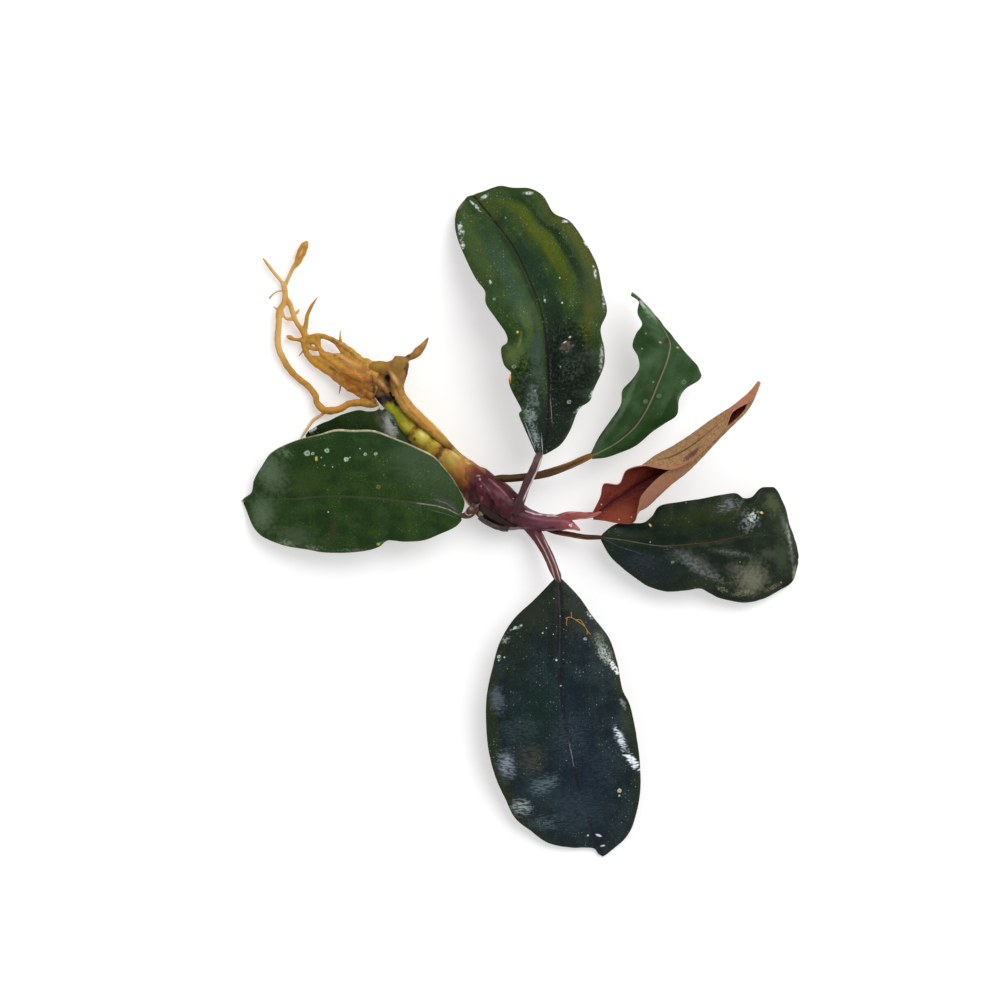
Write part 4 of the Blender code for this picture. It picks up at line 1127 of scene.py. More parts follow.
# Colour of the painted sheen on the oval blade.
LEFT_SHEEN: Colour = (105, 155, 88)
RING_PALE: Colour = (400, 480, 360)
LEFT_FINISH = LeafFinish(
    dark=(13, 34, 9), body=(25, 52, 12), midrib=(50, 52, 28), vein=(30, 55, 20), margin=(80, 75, 30),
    edge=(420, 370, 230), under=(100, 130, 70), under_vein=(170, 110, 70),
    bands=paint(
        band, (0.85, 0.2, 0.3, 0.2, (38, 66, 28)), (0.8, 0.6, 0.2, 0.2, (16, 40, 9), 0.7),
        (0.6, 0.08, 0.14, 0.1, (55, 64, 52), 0.7), (1, 0.38, 0.02, 0.5, (660, 580, 420), 1),
    ),
    marks=paint(
        cloud, (-13.3, 6.3, 3.6, 3.6, (40, 68, 32), 0.5), (-24.9, -5.2, 0.9, 2.2, (44, 32, 22), 0.8),
        (-29.5, 2.6, 4.4, 3.2, (34, 62, 13)), (-35, 4.2, 3.6, 5.4, (66, 96, 52), 0.9, 25),
        (-36.2, -2.6, 3, 4.8, (66, 96, 52), 0.85), (-31, -6.4, 5, 2.2, (56, 82, 42), 0.8, -12),
        # Painted sheen near the tip and along both margins.
        holed_sheen_or_mark, (-35.6, 4.2, 2.6, 4.6, LEFT_SHEEN, 0.6, 25, 0.5, 0.25, 0.95),
        (-36.8, -2.8, 2, 4, LEFT_SHEEN, 0.6, 0, 0.5, 0.25, 0.95),
        (-33, 7.2, 2.2, 0.9, LEFT_SHEEN, 0.7, -20, 0.7, 0.4),
        (-32.6, -7.4, 2.6, 0.8, (150, 190, 130), 0.75, -12, 0.8, 0.4),
        (-28.2, -8.2, 2, 0.6, (150, 190, 130), 0.75, 0, 0.8, 0.4),
        (-21.8, -8.5, 3.4, 0.4, (120, 160, 100), 0.6, 0, 0.8, 0.4),
        (-16.6, -7.3, 1.4, 0.3, (150, 190, 120), 0.6, 0, 0.6, 0.4),
        trail, (((-5, -2.8), (-6.6, -2), (-8.6, -1.4), (-11.4, -1)), 0.13, (300, 290, 250), 0.7, 0.2),
        (((-5.2, -2.2), (-7, -1), (-8.8, -0.4)), 0.1, (200, 210, 190), 0.6, 0.2),
        (((-5.4, -3.3), (-7.4, -2.6), (-9.4, -2.1)), 0.1, (130, 140, 120), 0.6, 0.2),
        # Painted droplets and white spots: painted reflections and glints of water. The yellow marks
        # among them are the blade's own.
        droplet_glint, (-29.2, 7, 0.55, RING_PALE, (60, 110, 40)), (-28.3, 6.9, 0.34, RING_PALE, (60, 110, 40)),
        (-26, 7.4, 0.46, RING_PALE, (60, 110, 40)),
        spot, (-26.9, 6.3, 0.16, RING_PALE),
        droplet_glint, (-22.9, 6, 0.44, (560, 640, 480), (80, 130, 60)),
        spot, (-22.3, 6.3, 0.16, RING_PALE),
        droplet_glint, (-19.9, 6.8, 0.34, RING_PALE, (50, 90, 40)), (-18.2, 6.9, 0.34, RING_PALE, (50, 90, 40)),
        spot, (-20.7, 7.7, 0.12), (-25.1, 4.8, 0.13), (-26.4, 5, 0.1), (-25.8, -2.4, 0.15),
        (-12, 9, 0.16),
        mark, (-27.7, 6.1, 0.3, 0.5, (620, 420, 70), 0.95, 0, 0.3),
        droplet_glint, (-17.8, 1.6, 0.42, (200, 140, 50), (30, 50, 20)),
        mark, (-17.8, -7.5, 0.35, 0.3, (420, 440, 80), 0.9, 0, 0.3),
        (-39.8, -0.6, 0.4, 0.25, (420, 320, 140), 0.8, 0, 0.2),
    ),
    speckles=(Speckle(3.4, 0.26, 0.5, (50, 85, 35), 0.5), Speckle(1.7, 0.11, 0.34, (240, 320, 220), 0.7)),
    midrib_width=0.22, midrib_strength=0.75, vein_strength=0.1, margin_width=0.3, margin_strength=0.6,
    roughness=0.4,
)
UNDER_UPPER_MARGIN: Rail = (
    (-7.9, 0, 2.9), (-9.4, 3.4, 3.1), (-11.3, 6.5, 2.9), (-13, 9.1, 2.6), (-14.4, 11.5, 2.6),
    (-15.3, 12.9, 3), (-16.6, 14.1, 3.8), (-17.4, 14.4, 4.4), (-18.3, 13.8, 4.6), (-19.6, 13.7, 4.6),
    (-21.1, 13.9, 4.4), (-23.7, 13.2, 4), (-25.6, 12.3, 3.5), (-27.2, 11.7, 2.9), (-29.1, 10.6, 1.9),
)
UNDER_MIDRIB: Rail = (
    (-8.1, -0.6, 2.9), (-11.5, 1.6, 3.3), (-16, 5.4, 3.9), (-20.5, 8.4, 3.9), (-25, 9.8, 3),
    (-29.6, 10, 1.6),
)
UNDER_LOWER_MARGIN: Rail = (
    (-8.2, -1.3, 2.8), (-11, -1.8, 3), (-15, -0.6, 3.2), (-19.5, 2, 3.2), (-23.5, 5, 2.8), (-27, 8, 2),
    (-29.5, 9.4, 1.5),
)
UNDER_FINISH = LeafFinish(
    dark=(10, 25, 5), body=(19, 37, 10), midrib=(50, 40, 20), vein=(22, 44, 14), margin=(140, 110, 60),
    edge=(420, 330, 200), under=(90, 115, 65), under_vein=(170, 110, 70),
    marks=paint(
        # Painted reflection: near white where the surface beyond the fold turns down.
        cloud, (-16.1, 11.4, 1.5, 3.2, (235, 250, 225), 0.95, 15),
        glare, (-15.8, 11.4, 1, 2.4, 15, (340, 360, 340), 0.6),
        cloud, (-17.9, 12.4, 0.9, 1.6, (70, 65, 30), 0.8, 15),
        # A painted shadow of the rhizome on the blade beside it.
        mark, (-15.6, 12, 0.35, 0.9, (12, 14, 10), 0.9, 30, 0.3),
        (-17.3, 14.2, 0.45, 0.4, (620, 520, 380), 0.9, 0, 0.3),
        (-28.6, 10.5, 1.3, 0.8, (6, 8, 6), 0.9, 30, 0.2),
        # Painted glare in a crackled patch at the tip.
        glare_and_marks, (-28.4, 10.8, 0.9, 0.7, 30, 0.9),
    ),
    speckles=(Speckle(1.5, 0.11, 0.15, (180, 240, 150), 0.5),), midrib_width=0.2, margin_width=0.35,
    margin_strength=0.7, roughness=0.38,
)


# Narrow wavy blade at the upper right, its far half turned down


UPPER_RIGHT_LEFT_MARGIN: Rail = (
    (16, 6.8, 5.8), (17.4, 9.6, 6.6), (19.2, 12.2, 7.4), (20.8, 14.7, 8.2), (21.1, 17, 8),
    (22.6, 18.7, 8.8), (23.7, 20.5, 9.2), (23.5, 22.4, 8.6), (22.7, 24, 8), (23.2, 25.9, 8.4),
    (24.2, 27.5, 8.4), (23.5, 29.3, 7.2), (23.7, 31.2, 6.4), (22.5, 32.2, 5.4),
)
UPPER_RIGHT_MIDRIB: Rail = (
    (16.1, 6.5, 5.7), (17.6, 7.2, 6), (20, 8.5, 6.4), (22.4, 10.4, 6.8), (24, 12.3, 7.1),
    (25.6, 15.2, 7.4), (26.7, 17.9, 7.6), (27.8, 20.6, 7.8), (28.6, 23.2, 7.8), (28.6, 24.8, 7.8),
    (27.6, 26.9, 7.7), (25.8, 29.1, 7), (24.1, 31.4, 6.1), (22.7, 32.7, 5.2),
)
UPPER_RIGHT_FOLD: Rail = (
    (16.2, 6.3, 5.7), (19.5, 7.5, 6.3), (22.1, 8.8, 6.9), (24.8, 11, 7.3), (27.2, 13.6, 7.5),
    (29.1, 16.2, 7.3), (31, 18.7, 6.9), (32.5, 20.9, 6.4), (31.2, 22.8, 6.9), (29.6, 24.8, 7.2),
    (28.3, 26.4, 7.2), (26.4, 28.8, 6.5), (24.6, 30.9, 5.7), (23.1, 32.4, 5),
)
UPPER_RIGHT_RIGHT_MARGIN: Rail = (
    (16.4, 6.1, 5.6), (18.4, 6.3, 5.8), (20.5, 7, 6), (23.4, 8.3, 6.6), (25.6, 10.2, 6.8),
    (27.8, 11.7, 6.4), (29.8, 13.1, 6.8), (30.1, 15.5, 6.4), (31.2, 17.3, 6.2), (33.4, 18.7, 5.6),
    (33.6, 19.9, 5.1), (31.9, 21.5, 4.9), (30.2, 23.3, 4.8), (28.4, 25.3, 4.8), (26.6, 27.7, 4.7),
    (24.8, 30.1, 4.5), (23.5, 32, 4.6),
)
UPPER_RIGHT_FINISH = LeafFinish(
    dark=(20, 48, 14), body=(38, 78, 30), midrib=(170, 180, 120), vein=(50, 90, 40), margin=(60, 95, 45),
    edge=(75, 120, 55), under=(120, 150, 80), under_vein=(180, 130, 80),
    bands=paint(
        band, (0.85, 0.28, 0.22, 0.24, (12, 36, 7), 0.85), (0.46, 0.35, 0.035, 0.4, (50, 34, 12), 0.95),
    ),
    marks=paint(
        # The two pale trails are painted highlight streaks on the left half. The dark one between them is
        # the blade's own colour.
        trail, (((16.8, 7.6), (18.6, 10.2), (20.2, 12.4)), 0.6, (60, 84, 52), 0.8),
        (((18.4, 8.6), (20.8, 11.2), (22.6, 14.4)), 0.8, (18, 46, 12)),
        (((20.4, 12.6), (22, 16), (23.4, 19.4)), 0.7, (85, 130, 75)),
        # Painted sheen near the tip, where the blade curves away.
        cloud, (25.4, 29.6, 1, 2.8, (160, 220, 150), 0.85, 38),
        (24.4, 30.6, 0.5, 1.4, (340, 400, 330), 0.8, 38), (23.6, 27.6, 0.5, 1.2, (130, 180, 120), 0.7),
        (28.1, 24.7, 0.8, 1, (45, 18, 18), 0.9), (30.4, 15.6, 0.7, 1.8, (150, 210, 130), 0.8),
        (27, 10.8, 2.2, 0.8, (60, 98, 48), 0.7, 30),
        mark, (27.1, 24.6, 0.34, 0.2, (420, 360, 100), 0.9, -30, 0.15),
        (29.9, 23.8, 0.36, 0.2, (500, 340, 60), 0.9, -10, 0.15),
        # Pale spots and droplets: painted glints and reflections of water.
        spot, (26, 18.3, 0.22, (260, 340, 240), 0.6),
        droplet_glint, (24.8, 15.2, 0.45, (110, 170, 100), (50, 90, 40)),
        (26.9, 16.1, 0.45, (110, 170, 100), (50, 90, 40)),
        (30.9, 18.3, 0.5, (100, 160, 90), (50, 90, 40)),
        spot, (24.8, 26, 0.22, (200, 280, 190), 0.6), (24.2, 23.6, 0.18, (240, 320, 220), 0.7),
    ),
    speckles=(Speckle(1.2, 0.12, 0.12, (200, 270, 180), 0.5),), midrib_width=0.2, midrib_strength=0.85,
    mottle=0.1, vein_strength=0.1, margin_width=0.3, margin_strength=0.4, roughness=0.34, coat=0.04,
)


# Dark glossy blade on the right, its end curled down


RIGHT_UPPER_MARGIN: Rail = (
    (18.1, -5.8, 4.2), (19.8, -4.5, 4), (21.6, -4.1, 3.8), (24.5, -4.2, 3.8), (25.9, -3.2, 4.2),
    (27.2, -1.4, 4.8), (30.4, -0.8, 5), (33.6, -0.3, 5.2), (36.8, 0.3, 5.5), (39.2, 0.6, 5),
    (40.5, -0.2, 4.4), (41.9, 0, 4.7), (43.2, 1.4, 5), (44.5, 1.6, 4.4), (45.6, 1.4, 3.8),
    (46.6, -0.2, 3), (47.4, -2.1, 2.3), (48, -4.5, 1.7), (49, -7.2, 1.1), (49.6, -9.5, 0.5),
)
RIGHT_MIDRIB: Rail = (
    (17.6, -6.4, 4.2), (21.6, -6.9, 4.6), (24.8, -7.5, 5), (28, -7.8, 5.3), (32, -7.5, 5.5),
    (35.2, -7.2, 5.4), (38.4, -6.6, 5.1), (41.9, -5.8, 4.5), (45.2, -5.9, 3.4), (47.6, -7.4, 2.1),
    (49.5, -10.2, 0.3),
)
RIGHT_LOWER_MARGIN: Rail = (
    (17.9, -7.2, 4.1), (19.2, -9.4, 3.8), (20.8, -11, 3.6), (24, -13.5, 3.2), (25.6, -14.4, 3),
    (28.5, -15.1, 3.2), (31.4, -14.9, 3.8), (33.6, -14.6, 3.6), (35.2, -15.4, 3), (37.1, -16.3, 2.6),
    (40.8, -16.9, 2.2), (43.8, -16.3, 1.6), (46.4, -15, 1.2), (48.5, -13.6, 0.8), (49.4, -11, 0.35),
)
RIGHT_FINISH = LeafFinish(
    dark=(7.5, 13.5, 9.5), body=(16, 25, 12), midrib=(100, 48, 18), vein=(16, 24, 14),
    margin=(34, 44, 18), edge=(90, 85, 40), under=(75, 55, 45), under_vein=(150, 60, 55),
    bands=paint(
        band, (0.78, 0.22, 0.3, 0.28, (11, 17, 20), 0.9), (0.18, 0.45, 0.18, 0.26, (22, 30, 9), 0.85),
        (0.25, 0.88, 0.35, 0.14, (36, 48, 20)),
    ),
    marks=paint(
        cloud, (45.2, -1, 2, 2.6, (64, 78, 34), 0.85, 15), (46.8, -9.6, 1.8, 3.6, (40, 56, 28), 0.75, 5),
        # Painted reflection from here to the pale grey patches below: diagonal bands of gloss across the
        # lower half, and a painted highlight at the right edge.
        (33.4, -10.8, 4.6, 2.1, (58, 60, 60), 0.85, -28), (39, -11.6, 2.4, 1.8, (70, 72, 58), 0.7, -10),
        (42, -12.9, 3.8, 3.8, (110, 113, 75), 0.9), (44.6, -9, 2.2, 1.4, (50, 60, 40), 0.7),
        (48.9, -12.2, 0.5, 1.7, (220, 220, 140), 0.8), (32.6, -10.4, 5.4, 1.9, (52, 56, 50), 0.8, -32),
        holed_sheen_or_mark, (33, -11.4, 4.6, 0.7, (170, 175, 175), 0.55, -33, 0.8, 0.6),
        (32.2, -9.9, 3.4, 0.6, (150, 155, 155), 0.5, -28, 0.8, 0.6),
        (35.8, -12.6, 2.6, 0.8, (130, 135, 130), 0.5, -30, 0.8, 0.6),
        trail, (((33, -8.9), (35.6, -10.6), (38.6, -12.2)), 0.4, (14, 22, 12), 0.7, 0.5),
        # Another painted band of gloss.
        cloud, (38.6, -9, 4.6, 0.9, (40, 46, 36), 0.8, -8),
        holed_sheen_or_mark, (38.6, -8.9, 3.8, 0.5, (110, 115, 105), 0.6, -8, 0.8, 0.6),
        # Painted sheen along the right edge, where the blade curls down.
        trail, (((46.8, -3.4), (47.6, -5.6), (48.2, -7.8), (48.6, -10.4)), 0.55, (90, 105, 85), 0.7, 0.5),
        holed_sheen_or_mark, (48, -6.6, 0.3, 3.2, (260, 280, 260), 0.75, 10, 0.7, 0.6),
        (41.6, -13.4, 3.4, 2.6, (160, 160, 115), 0.5, 0, 0.6, 0.4),
        glare, (38, -1.4, 2.6, 1.4, 15, (130, 150, 150)),
        # Painted highlights in a white crackle of fine folds.
        holed_sheen_or_mark, (41.4, -3.8, 1.9, 2.3, (160, 180, 170), 0.8, -20, 0.85),
        (42, -3.2, 0.9, 1.1, (500, 540, 520), 0.9, -20, 0.8, 0.5, 0.8),
        (40.7, -15.4, 2.6, 0.7, (220, 200, 110), 0.6, 5, 0.8, 0.5, 0.9, Grain.FINE),
        (45.6, -14.4, 1.8, 0.5, (180, 170, 100), 0.55, 25, 0.8, 0.5, 0.9, Grain.FINE),
        # Painted glare in a crackled patch by the lower margin.
        glare_and_marks, (37.2, -14.8, 1.2, 0.5, -25, 0.7, (280, 270, 160)),
        glare, (30.2, -9.4, 3, 1.4, 0, (70, 80, 90), 0.4), (24.6, -10, 3.4, 2.2, 0, (40, 50, 60), 0.35),
        trail, (((18.2, -6.5), (21.4, -6.9), (25.4, -7.6), (28.6, -8)), 0.13, (85, 100, 105), 0.7, 0.3),
        (((18.2, -6.7), (20.6, -7.9), (23.6, -8.9)), 0.1, (60, 72, 78), 0.7, 0.3),
        mark, (25.6, -4.5, 0.22, 0.4, (900, 620, 180), 0.95, 35, 0.1),
        (43.4, -2.5, 0.4, 0.26, (850, 550, 100), 0.95, -20, 0.1),
        # A painted droplet and pale spots: painted reflections and glints of water. The orange spot at
        # the end is the blade's own.
        droplet_glint, (29.2, -10.4, 0.3, (260, 280, 160), (60, 70, 40)),
        spot, (25.6, -7.2, 0.12), (31.3, -0.9, 0.12, GREY_GLARE), (40, -10.4, 0.14, GREY_GLARE),
        (46.7, -13.7, 0.16, (500, 320, 120)),
    ),
    speckles=(
        Speckle(3.4, 0.25, 0.45, (40, 52, 46), 0.5), Speckle(1.8, 0.12, 0.22, (220, 260, 250), 0.6),
    ),
    midrib_width=0.12, midrib_strength=0.7, midrib_end=0.8, vein_strength=0.08, margin_width=0.3,
    roughness=0.3, coat=0.1,
)


# Rolled young blade: every rail has a point at each station along the roll


YOUNG_LEFT_MARGIN: Rail = (
    (16.4, -2.5, 5), (17.6, 0, 5.6), (18.2, 2.1, 6.4), (20.6, 2.1, 6.6), (21.8, 4.3, 7.6), (24.6, 5, 9),
    (26.6, 4.6, 9.7), (29.1, 4.4, 10.2), (32, 5.8, 10.8), (34.7, 8.2, 11.3), (37.3, 10.9, 11.6),
    (38.5, 13.5, 11.8), (41.7, 15.5, 12), (42.62, 18.1, 12),
)
YOUNG_LEFT_FOLD: Rail = (
    (16.4, -2.8, 4.8), (17.9, -0.8, 5.1), (18.9, 0.9, 5.5), (20.9, 1.5, 5.7), (22.4, 3.3, 6.4),
    (24.3, 4.9, 7.4), (26.4, 6.6, 7.9), (29, 8, 8.6), (32, 9.9, 9.3), (34.6, 11.8, 9.9),
    (36.8, 13.3, 10.4), (38.6, 14.5, 10.9), (40.9, 16.4, 11.3), (42.58, 18.2, 11.8),
)
YOUNG_MIDRIB: Rail = (
    (16.5, -3.05, 4.7), (18.1, -1.8, 4.8), (19.7, -0.6, 4.9), (21.6, 0.6, 5.1), (23.4, 1.8, 5.3),
    (25.3, 2.9, 5.6), (27.4, 4, 6), (30.1, 5.9, 6.6), (32.6, 8, 7.4), (34.9, 10.2, 8.2), (37.1, 12, 9.2),
    (39.5, 13.9, 10.1), (41.1, 15.4, 10.7), (42.65, 18.3, 11.65),
)
YOUNG_RIGHT_FOLD: Rail = (
    (16.5, -3.3, 4.8), (18.2, -2.8, 4.8), (20.2, -2.4, 5), (22.6, -1.8, 5.3), (24.8, -1.6, 5.9),
    (26.9, 0.2, 6.7), (29.1, 2.2, 7.4), (31.4, 4, 8.1), (33.8, 6.4, 8.8), (35.8, 8.6, 9.5),
    (38.5, 11.4, 10.2), (40.7, 13.6, 10.8), (41.9, 15.6, 11.2), (42.75, 18.1, 11.8),
)
YOUNG_RIGHT_MARGIN: Rail = (
    (16.5, -3.6, 5), (18.2, -3.8, 5), (20.5, -4.2, 5.3), (23, -4, 5.6), (23.7, -1.4, 7.2),
    (24.2, 0.3, 8.1), (26.6, 2.9, 8.7), (29.2, 4.8, 9.1), (32.2, 7.1, 9.7), (34.5, 9.4, 10.2),
    (38.1, 11.6, 10.6), (40.2, 13.6, 11.1), (41.3, 15.9, 11.3), (42.7, 18.1, 11.9),
)
YOUNG_FINISH = LeafFinish(
    dark=(85, 10, 8), body=(150, 25, 14), midrib=(30, 4, 8), vein=(230, 60, 34), margin=(380, 130, 95),
    edge=(520, 240, 170), under=(280, 165, 75), under_vein=(100, 36, 22),
    bands=paint(
        band, (0.5, 0.25, 0.15, 0.32, (50, 7, 10), 0.85), (0.85, 0.16, 0.3, 0.14, (200, 46, 22), 0.9),
        (0.15, 0.15, 0.15, 0.2, (150, 34, 22), 0.6), (0.5, 0.75, 0.6, 0.25, (72, 14, 10)),
    ),
    under_bands=paint(
        holed_sheen_or_mark, (0.13, 0.6, 0.01, 0.22, (90, 30, 20), 0.9, 0, 0, 0.02, 0.8, Grain.MEDIUM),
        (0.015, 0.55, 0.03, 0.35, (400, 140, 95), 0.6, 0, 0, 0.2, 0.9, Grain.MEDIUM),
        (0.06, 0.62, 0.035, 0.05, (90, 28, 40), 0.8, 0, 0, 0.5, 0.6, Grain.FINE),
        (0.85, 0.38, 0.26, 0.26, (310, 125, 85), 0.85, 0, 0, 0.3, 0.9, Grain.MEDIUM),
        (0.8, 0.34, 0.012, 0.16, (110, 22, 18), 0.85, 6, 0, 0.1, 0.8, Grain.MEDIUM),
        (0.72, 0.4, 0.01, 0.12, (110, 22, 18), 0.75, 14, 0, 0.1, 0.8, Grain.MEDIUM),
        (0.5, 1, 0.7, 0.12, (520, 230, 60), 0.9, 0, 0, 0.1, 0.9, Grain.MEDIUM),
        (0.3, 0.88, 0.6, 0.12, (400, 150, 95), 0.85, 0, 0, 0.2, 0.9, Grain.MEDIUM),
    ),
    marks=paint(
        spot, (17.8, -1.2, 0.16, (620, 420, 380)), (20.6, -3.6, 0.16, (620, 420, 380)),
        (22.6, -3.2, 0.14, (620, 420, 380)),
    ),
    midrib_width=0.22, midrib_strength=0.7, mottle=0.12, vein_strength=0.35, vein_spacing=1.7,
    vein_slant=1.5, net_strength=0.2, margin_width=0.25, margin_strength=0.8, roughness=0.42, coat=0.06,
    relief=0.6,
)

BLADES = (
    Blade(
        "leaf_top", "old_leaf", (TOP_LEFT_MARGIN, TOP_MIDRIB, TOP_RIGHT_MARGIN), TOP_FINISH,
        camber=0.7, rows=170, strips=36, seed=1.0, crinkle=0.12,
    ),
    Blade(
        "leaf_bottom", "old_leaf", (BOTTOM_RIGHT_MARGIN, BOTTOM_MIDRIB, BOTTOM_LEFT_MARGIN),
        BOTTOM_FINISH, camber=0.6, rows=160, strips=36, seed=2.0, crinkle=0.12,
    ),
    Blade(
        "leaf_left", "old_leaf", (LEFT_LOWER_MARGIN, LEFT_MIDRIB, LEFT_UPPER_MARGIN), LEFT_FINISH,
        camber=0.5, seed=3.0,
    ),
    Blade(
        "leaf_under", "old_leaf", (UNDER_LOWER_MARGIN, UNDER_MIDRIB, UNDER_UPPER_MARGIN),
        UNDER_FINISH, camber=0.3, rows=110, strips=24, seed=4.0, crinkle=0.06,
    ),
    Blade(
        "leaf_right", "old_leaf", (RIGHT_UPPER_MARGIN, RIGHT_MIDRIB, RIGHT_LOWER_MARGIN),
        RIGHT_FINISH, camber=0.5, seed=5.0, crinkle=0.14, crinkle_size=3.2,
    ),
    Blade(
        "leaf_upper_right", "fresh_leaf",
        (
            UPPER_RIGHT_LEFT_MARGIN, UPPER_RIGHT_MIDRIB, UPPER_RIGHT_FOLD,
            UPPER_RIGHT_RIGHT_MARGIN,
        ),
        UPPER_RIGHT_FINISH, camber=0.4, seed=6.0, crinkle=0.06, quilting=0.03, thickness=0.30,
    ),
    Blade(
        "leaf_young", "young_leaf",
        (
            YOUNG_LEFT_MARGIN, YOUNG_LEFT_FOLD, YOUNG_MIDRIB, YOUNG_RIGHT_FOLD,
            YOUNG_RIGHT_MARGIN,
        ),
        YOUNG_FINISH, midrib=2, thickness=0.24, stationed=True, seed=7.0, crinkle=0.015,
        quilting=0.01, groove=0.1, strips=36,
    ),
)


# Stems and roots


Swelling = Callable[[np.ndarray, np.ndarray], np.ndarray]


@dataclass(frozen=True)
class Tube:
    """A closed round stem along a route of x, y, height and radius."""

    route: Rail
    sides: int = 20
    spacing: float = 0.3
    swelling: Union[Swelling, None] = None
    roughen: float = 0.06
    seed: float = 0.0
    lowest: float = 0.02
    fine_rings: int = 300

    def length(self) -> float:
        """Return the length of the route."""
        return float(np.linalg.norm(np.diff(np.array(self.route)[:, :3], axis=0), axis=1).sum())

    def skin(
        self, shares: np.ndarray, angles: np.ndarray, raised: Union[float, np.ndarray] = 0.0
    ) -> np.ndarray:
        """Return places on the stem's surface.

        Args:
            shares: How far along each place is, from 0 to 1.
            angles: How far round each place is, in radians from the top.
            raised: How far each place stands above the surface, in mm.

        Returns:
            Places in mm, in the shape that shares and angles have together.
        """
        shares, angles = np.broadcast_arrays(shares, angles)
        fine = by_length(self.route, self.fine_rings)
        knots = np.linspace(0.0, 1.0, self.fine_rings)
        ahead = np.gradient(fine[:, :3], axis=0)
        ahead /= np.linalg.norm(ahead, axis=1, keepdims=True)
        across, beside = self.directions(ahead)

        def read(table: np.ndarray) -> np.ndarray:
            """Read a table of vectors at the shares."""
            return np.stack([np.interp(shares, knots, column) for column in table.T], axis=-1)

        outward = read(across) * np.cos(angles)[..., None] + read(beside) * np.sin(angles)[..., None]
        middle = read(fine[:, :3])
        reach = np.interp(shares, knots, fine[:, 3])
        if self.swelling:
            reach = reach * self.swelling(shares, angles)
        if self.roughen:
            rough = lumps(middle + outward * reach[..., None], 0.9, self.seed)
            reach = reach * (1.0 + self.roughen * rough)
        places = middle + outward * (reach + raised)[..., None]
        places[..., 2] = np.maximum(places[..., 2], self.lowest)
        return places

    def build(self, name: str) -> Piece:
        """Roll a sheet into the tube and close it."""
        length = self.length()
        rings = max(6, round(length / self.spacing) + 1)
        shares = np.linspace(0.0, 1.0, rings)[:, None]
        angles = np.linspace(0.0, math.tau, self.sides + 1)[None, :]
        places = self.skin(shares, angles)
        places[:, -1] = places[:, 0]
        shares, turns = np.broadcast_arrays(shares, angles / math.tau)
        maps = {
            LEAF_LAYER: np.stack((turns, shares), axis=2),
            RIB_LAYER: np.stack((turns, shares * length), axis=2),
        }
        piece = add_sheet(name, places, maps)
        close_tube(piece)
        smooth_shade(piece, 60.0)
        return piece

    @staticmethod
    def directions(ahead: np.ndarray) -> tuple[np.ndarray, np.ndarray]:
        """Return two directions across the route at each ring, turning as little as they can."""
        across = np.zeros_like(ahead)
        current = np.array((0.0, 0.0, 1.0))
        for index, forward in enumerate(ahead):
            current = current - forward * current.dot(forward)
            current = current / np.linalg.norm(current)
            across[index] = current
        return across, np.cross(ahead, across)


@dataclass(frozen=True)
class Scale:
    """A thin scale that hugs a stem.

    Each station is a share of the stem's length, and the first and last degrees round it.
    """

    stations: Rail
    lift: float = 0.16
    thickness: float = 0.14
    rows: int = 60
    columns: int = 32
    seed: float = 0.0

    def build(self, name: str, stem: Tube) -> Piece:
        """Model the scale on its stem."""
        station = by_station(self.stations, self.rows)
        share = np.linspace(0.0, 1.0, self.columns)[None, :]
        spread = np.radians(station[:, 1:2] + (station[:, 2:3] - station[:, 1:2]) * share)
        along = np.linspace(0.0, 1.0, self.rows)[:, None] * np.ones_like(share)
        risen = np.minimum(1.0, 4.0 * along)
        ripple = lumps(np.stack((5.0 * along, 3.0 * share * np.ones_like(along), along), axis=2), 1.0,
                       self.seed)
        raised = -0.1 + (self.lift + 0.1) * risen + 0.07 * ripple
        places = stem.skin(station[:, :1], spread, raised)
        maps = {
            LEAF_LAYER: np.stack((share * np.ones_like(along), along), axis=2),
            RIB_LAYER: np.stack((share * np.ones_like(along), 6.0 * along), axis=2),
        }
        piece = add_sheet(name, places, maps)
        apply_modifier(piece, "SOLIDIFY", thickness=self.thickness * MILLIMETRE, offset=0.0)
        choose(piece)
        bpy.ops.object.mode_set(mode="EDIT")
        bpy.ops.mesh.select_all(action="SELECT")
        bpy.ops.mesh.normals_make_consistent(inside=False)
        bpy.ops.object.mode_set(mode="OBJECT")
        smooth_shade(piece, 60.0)
        return piece


def fluted(ridges: int, depth: float) -> Swelling:
    """Return a swelling of lengthwise ridges, as on a leaf stalk."""

    def swelling(along: np.ndarray, angle: np.ndarray) -> np.ndarray:
        """Return the radius factor."""
        return 1.0 + depth * np.cos(ridges * angle) + 0.0 * along

    return swelling


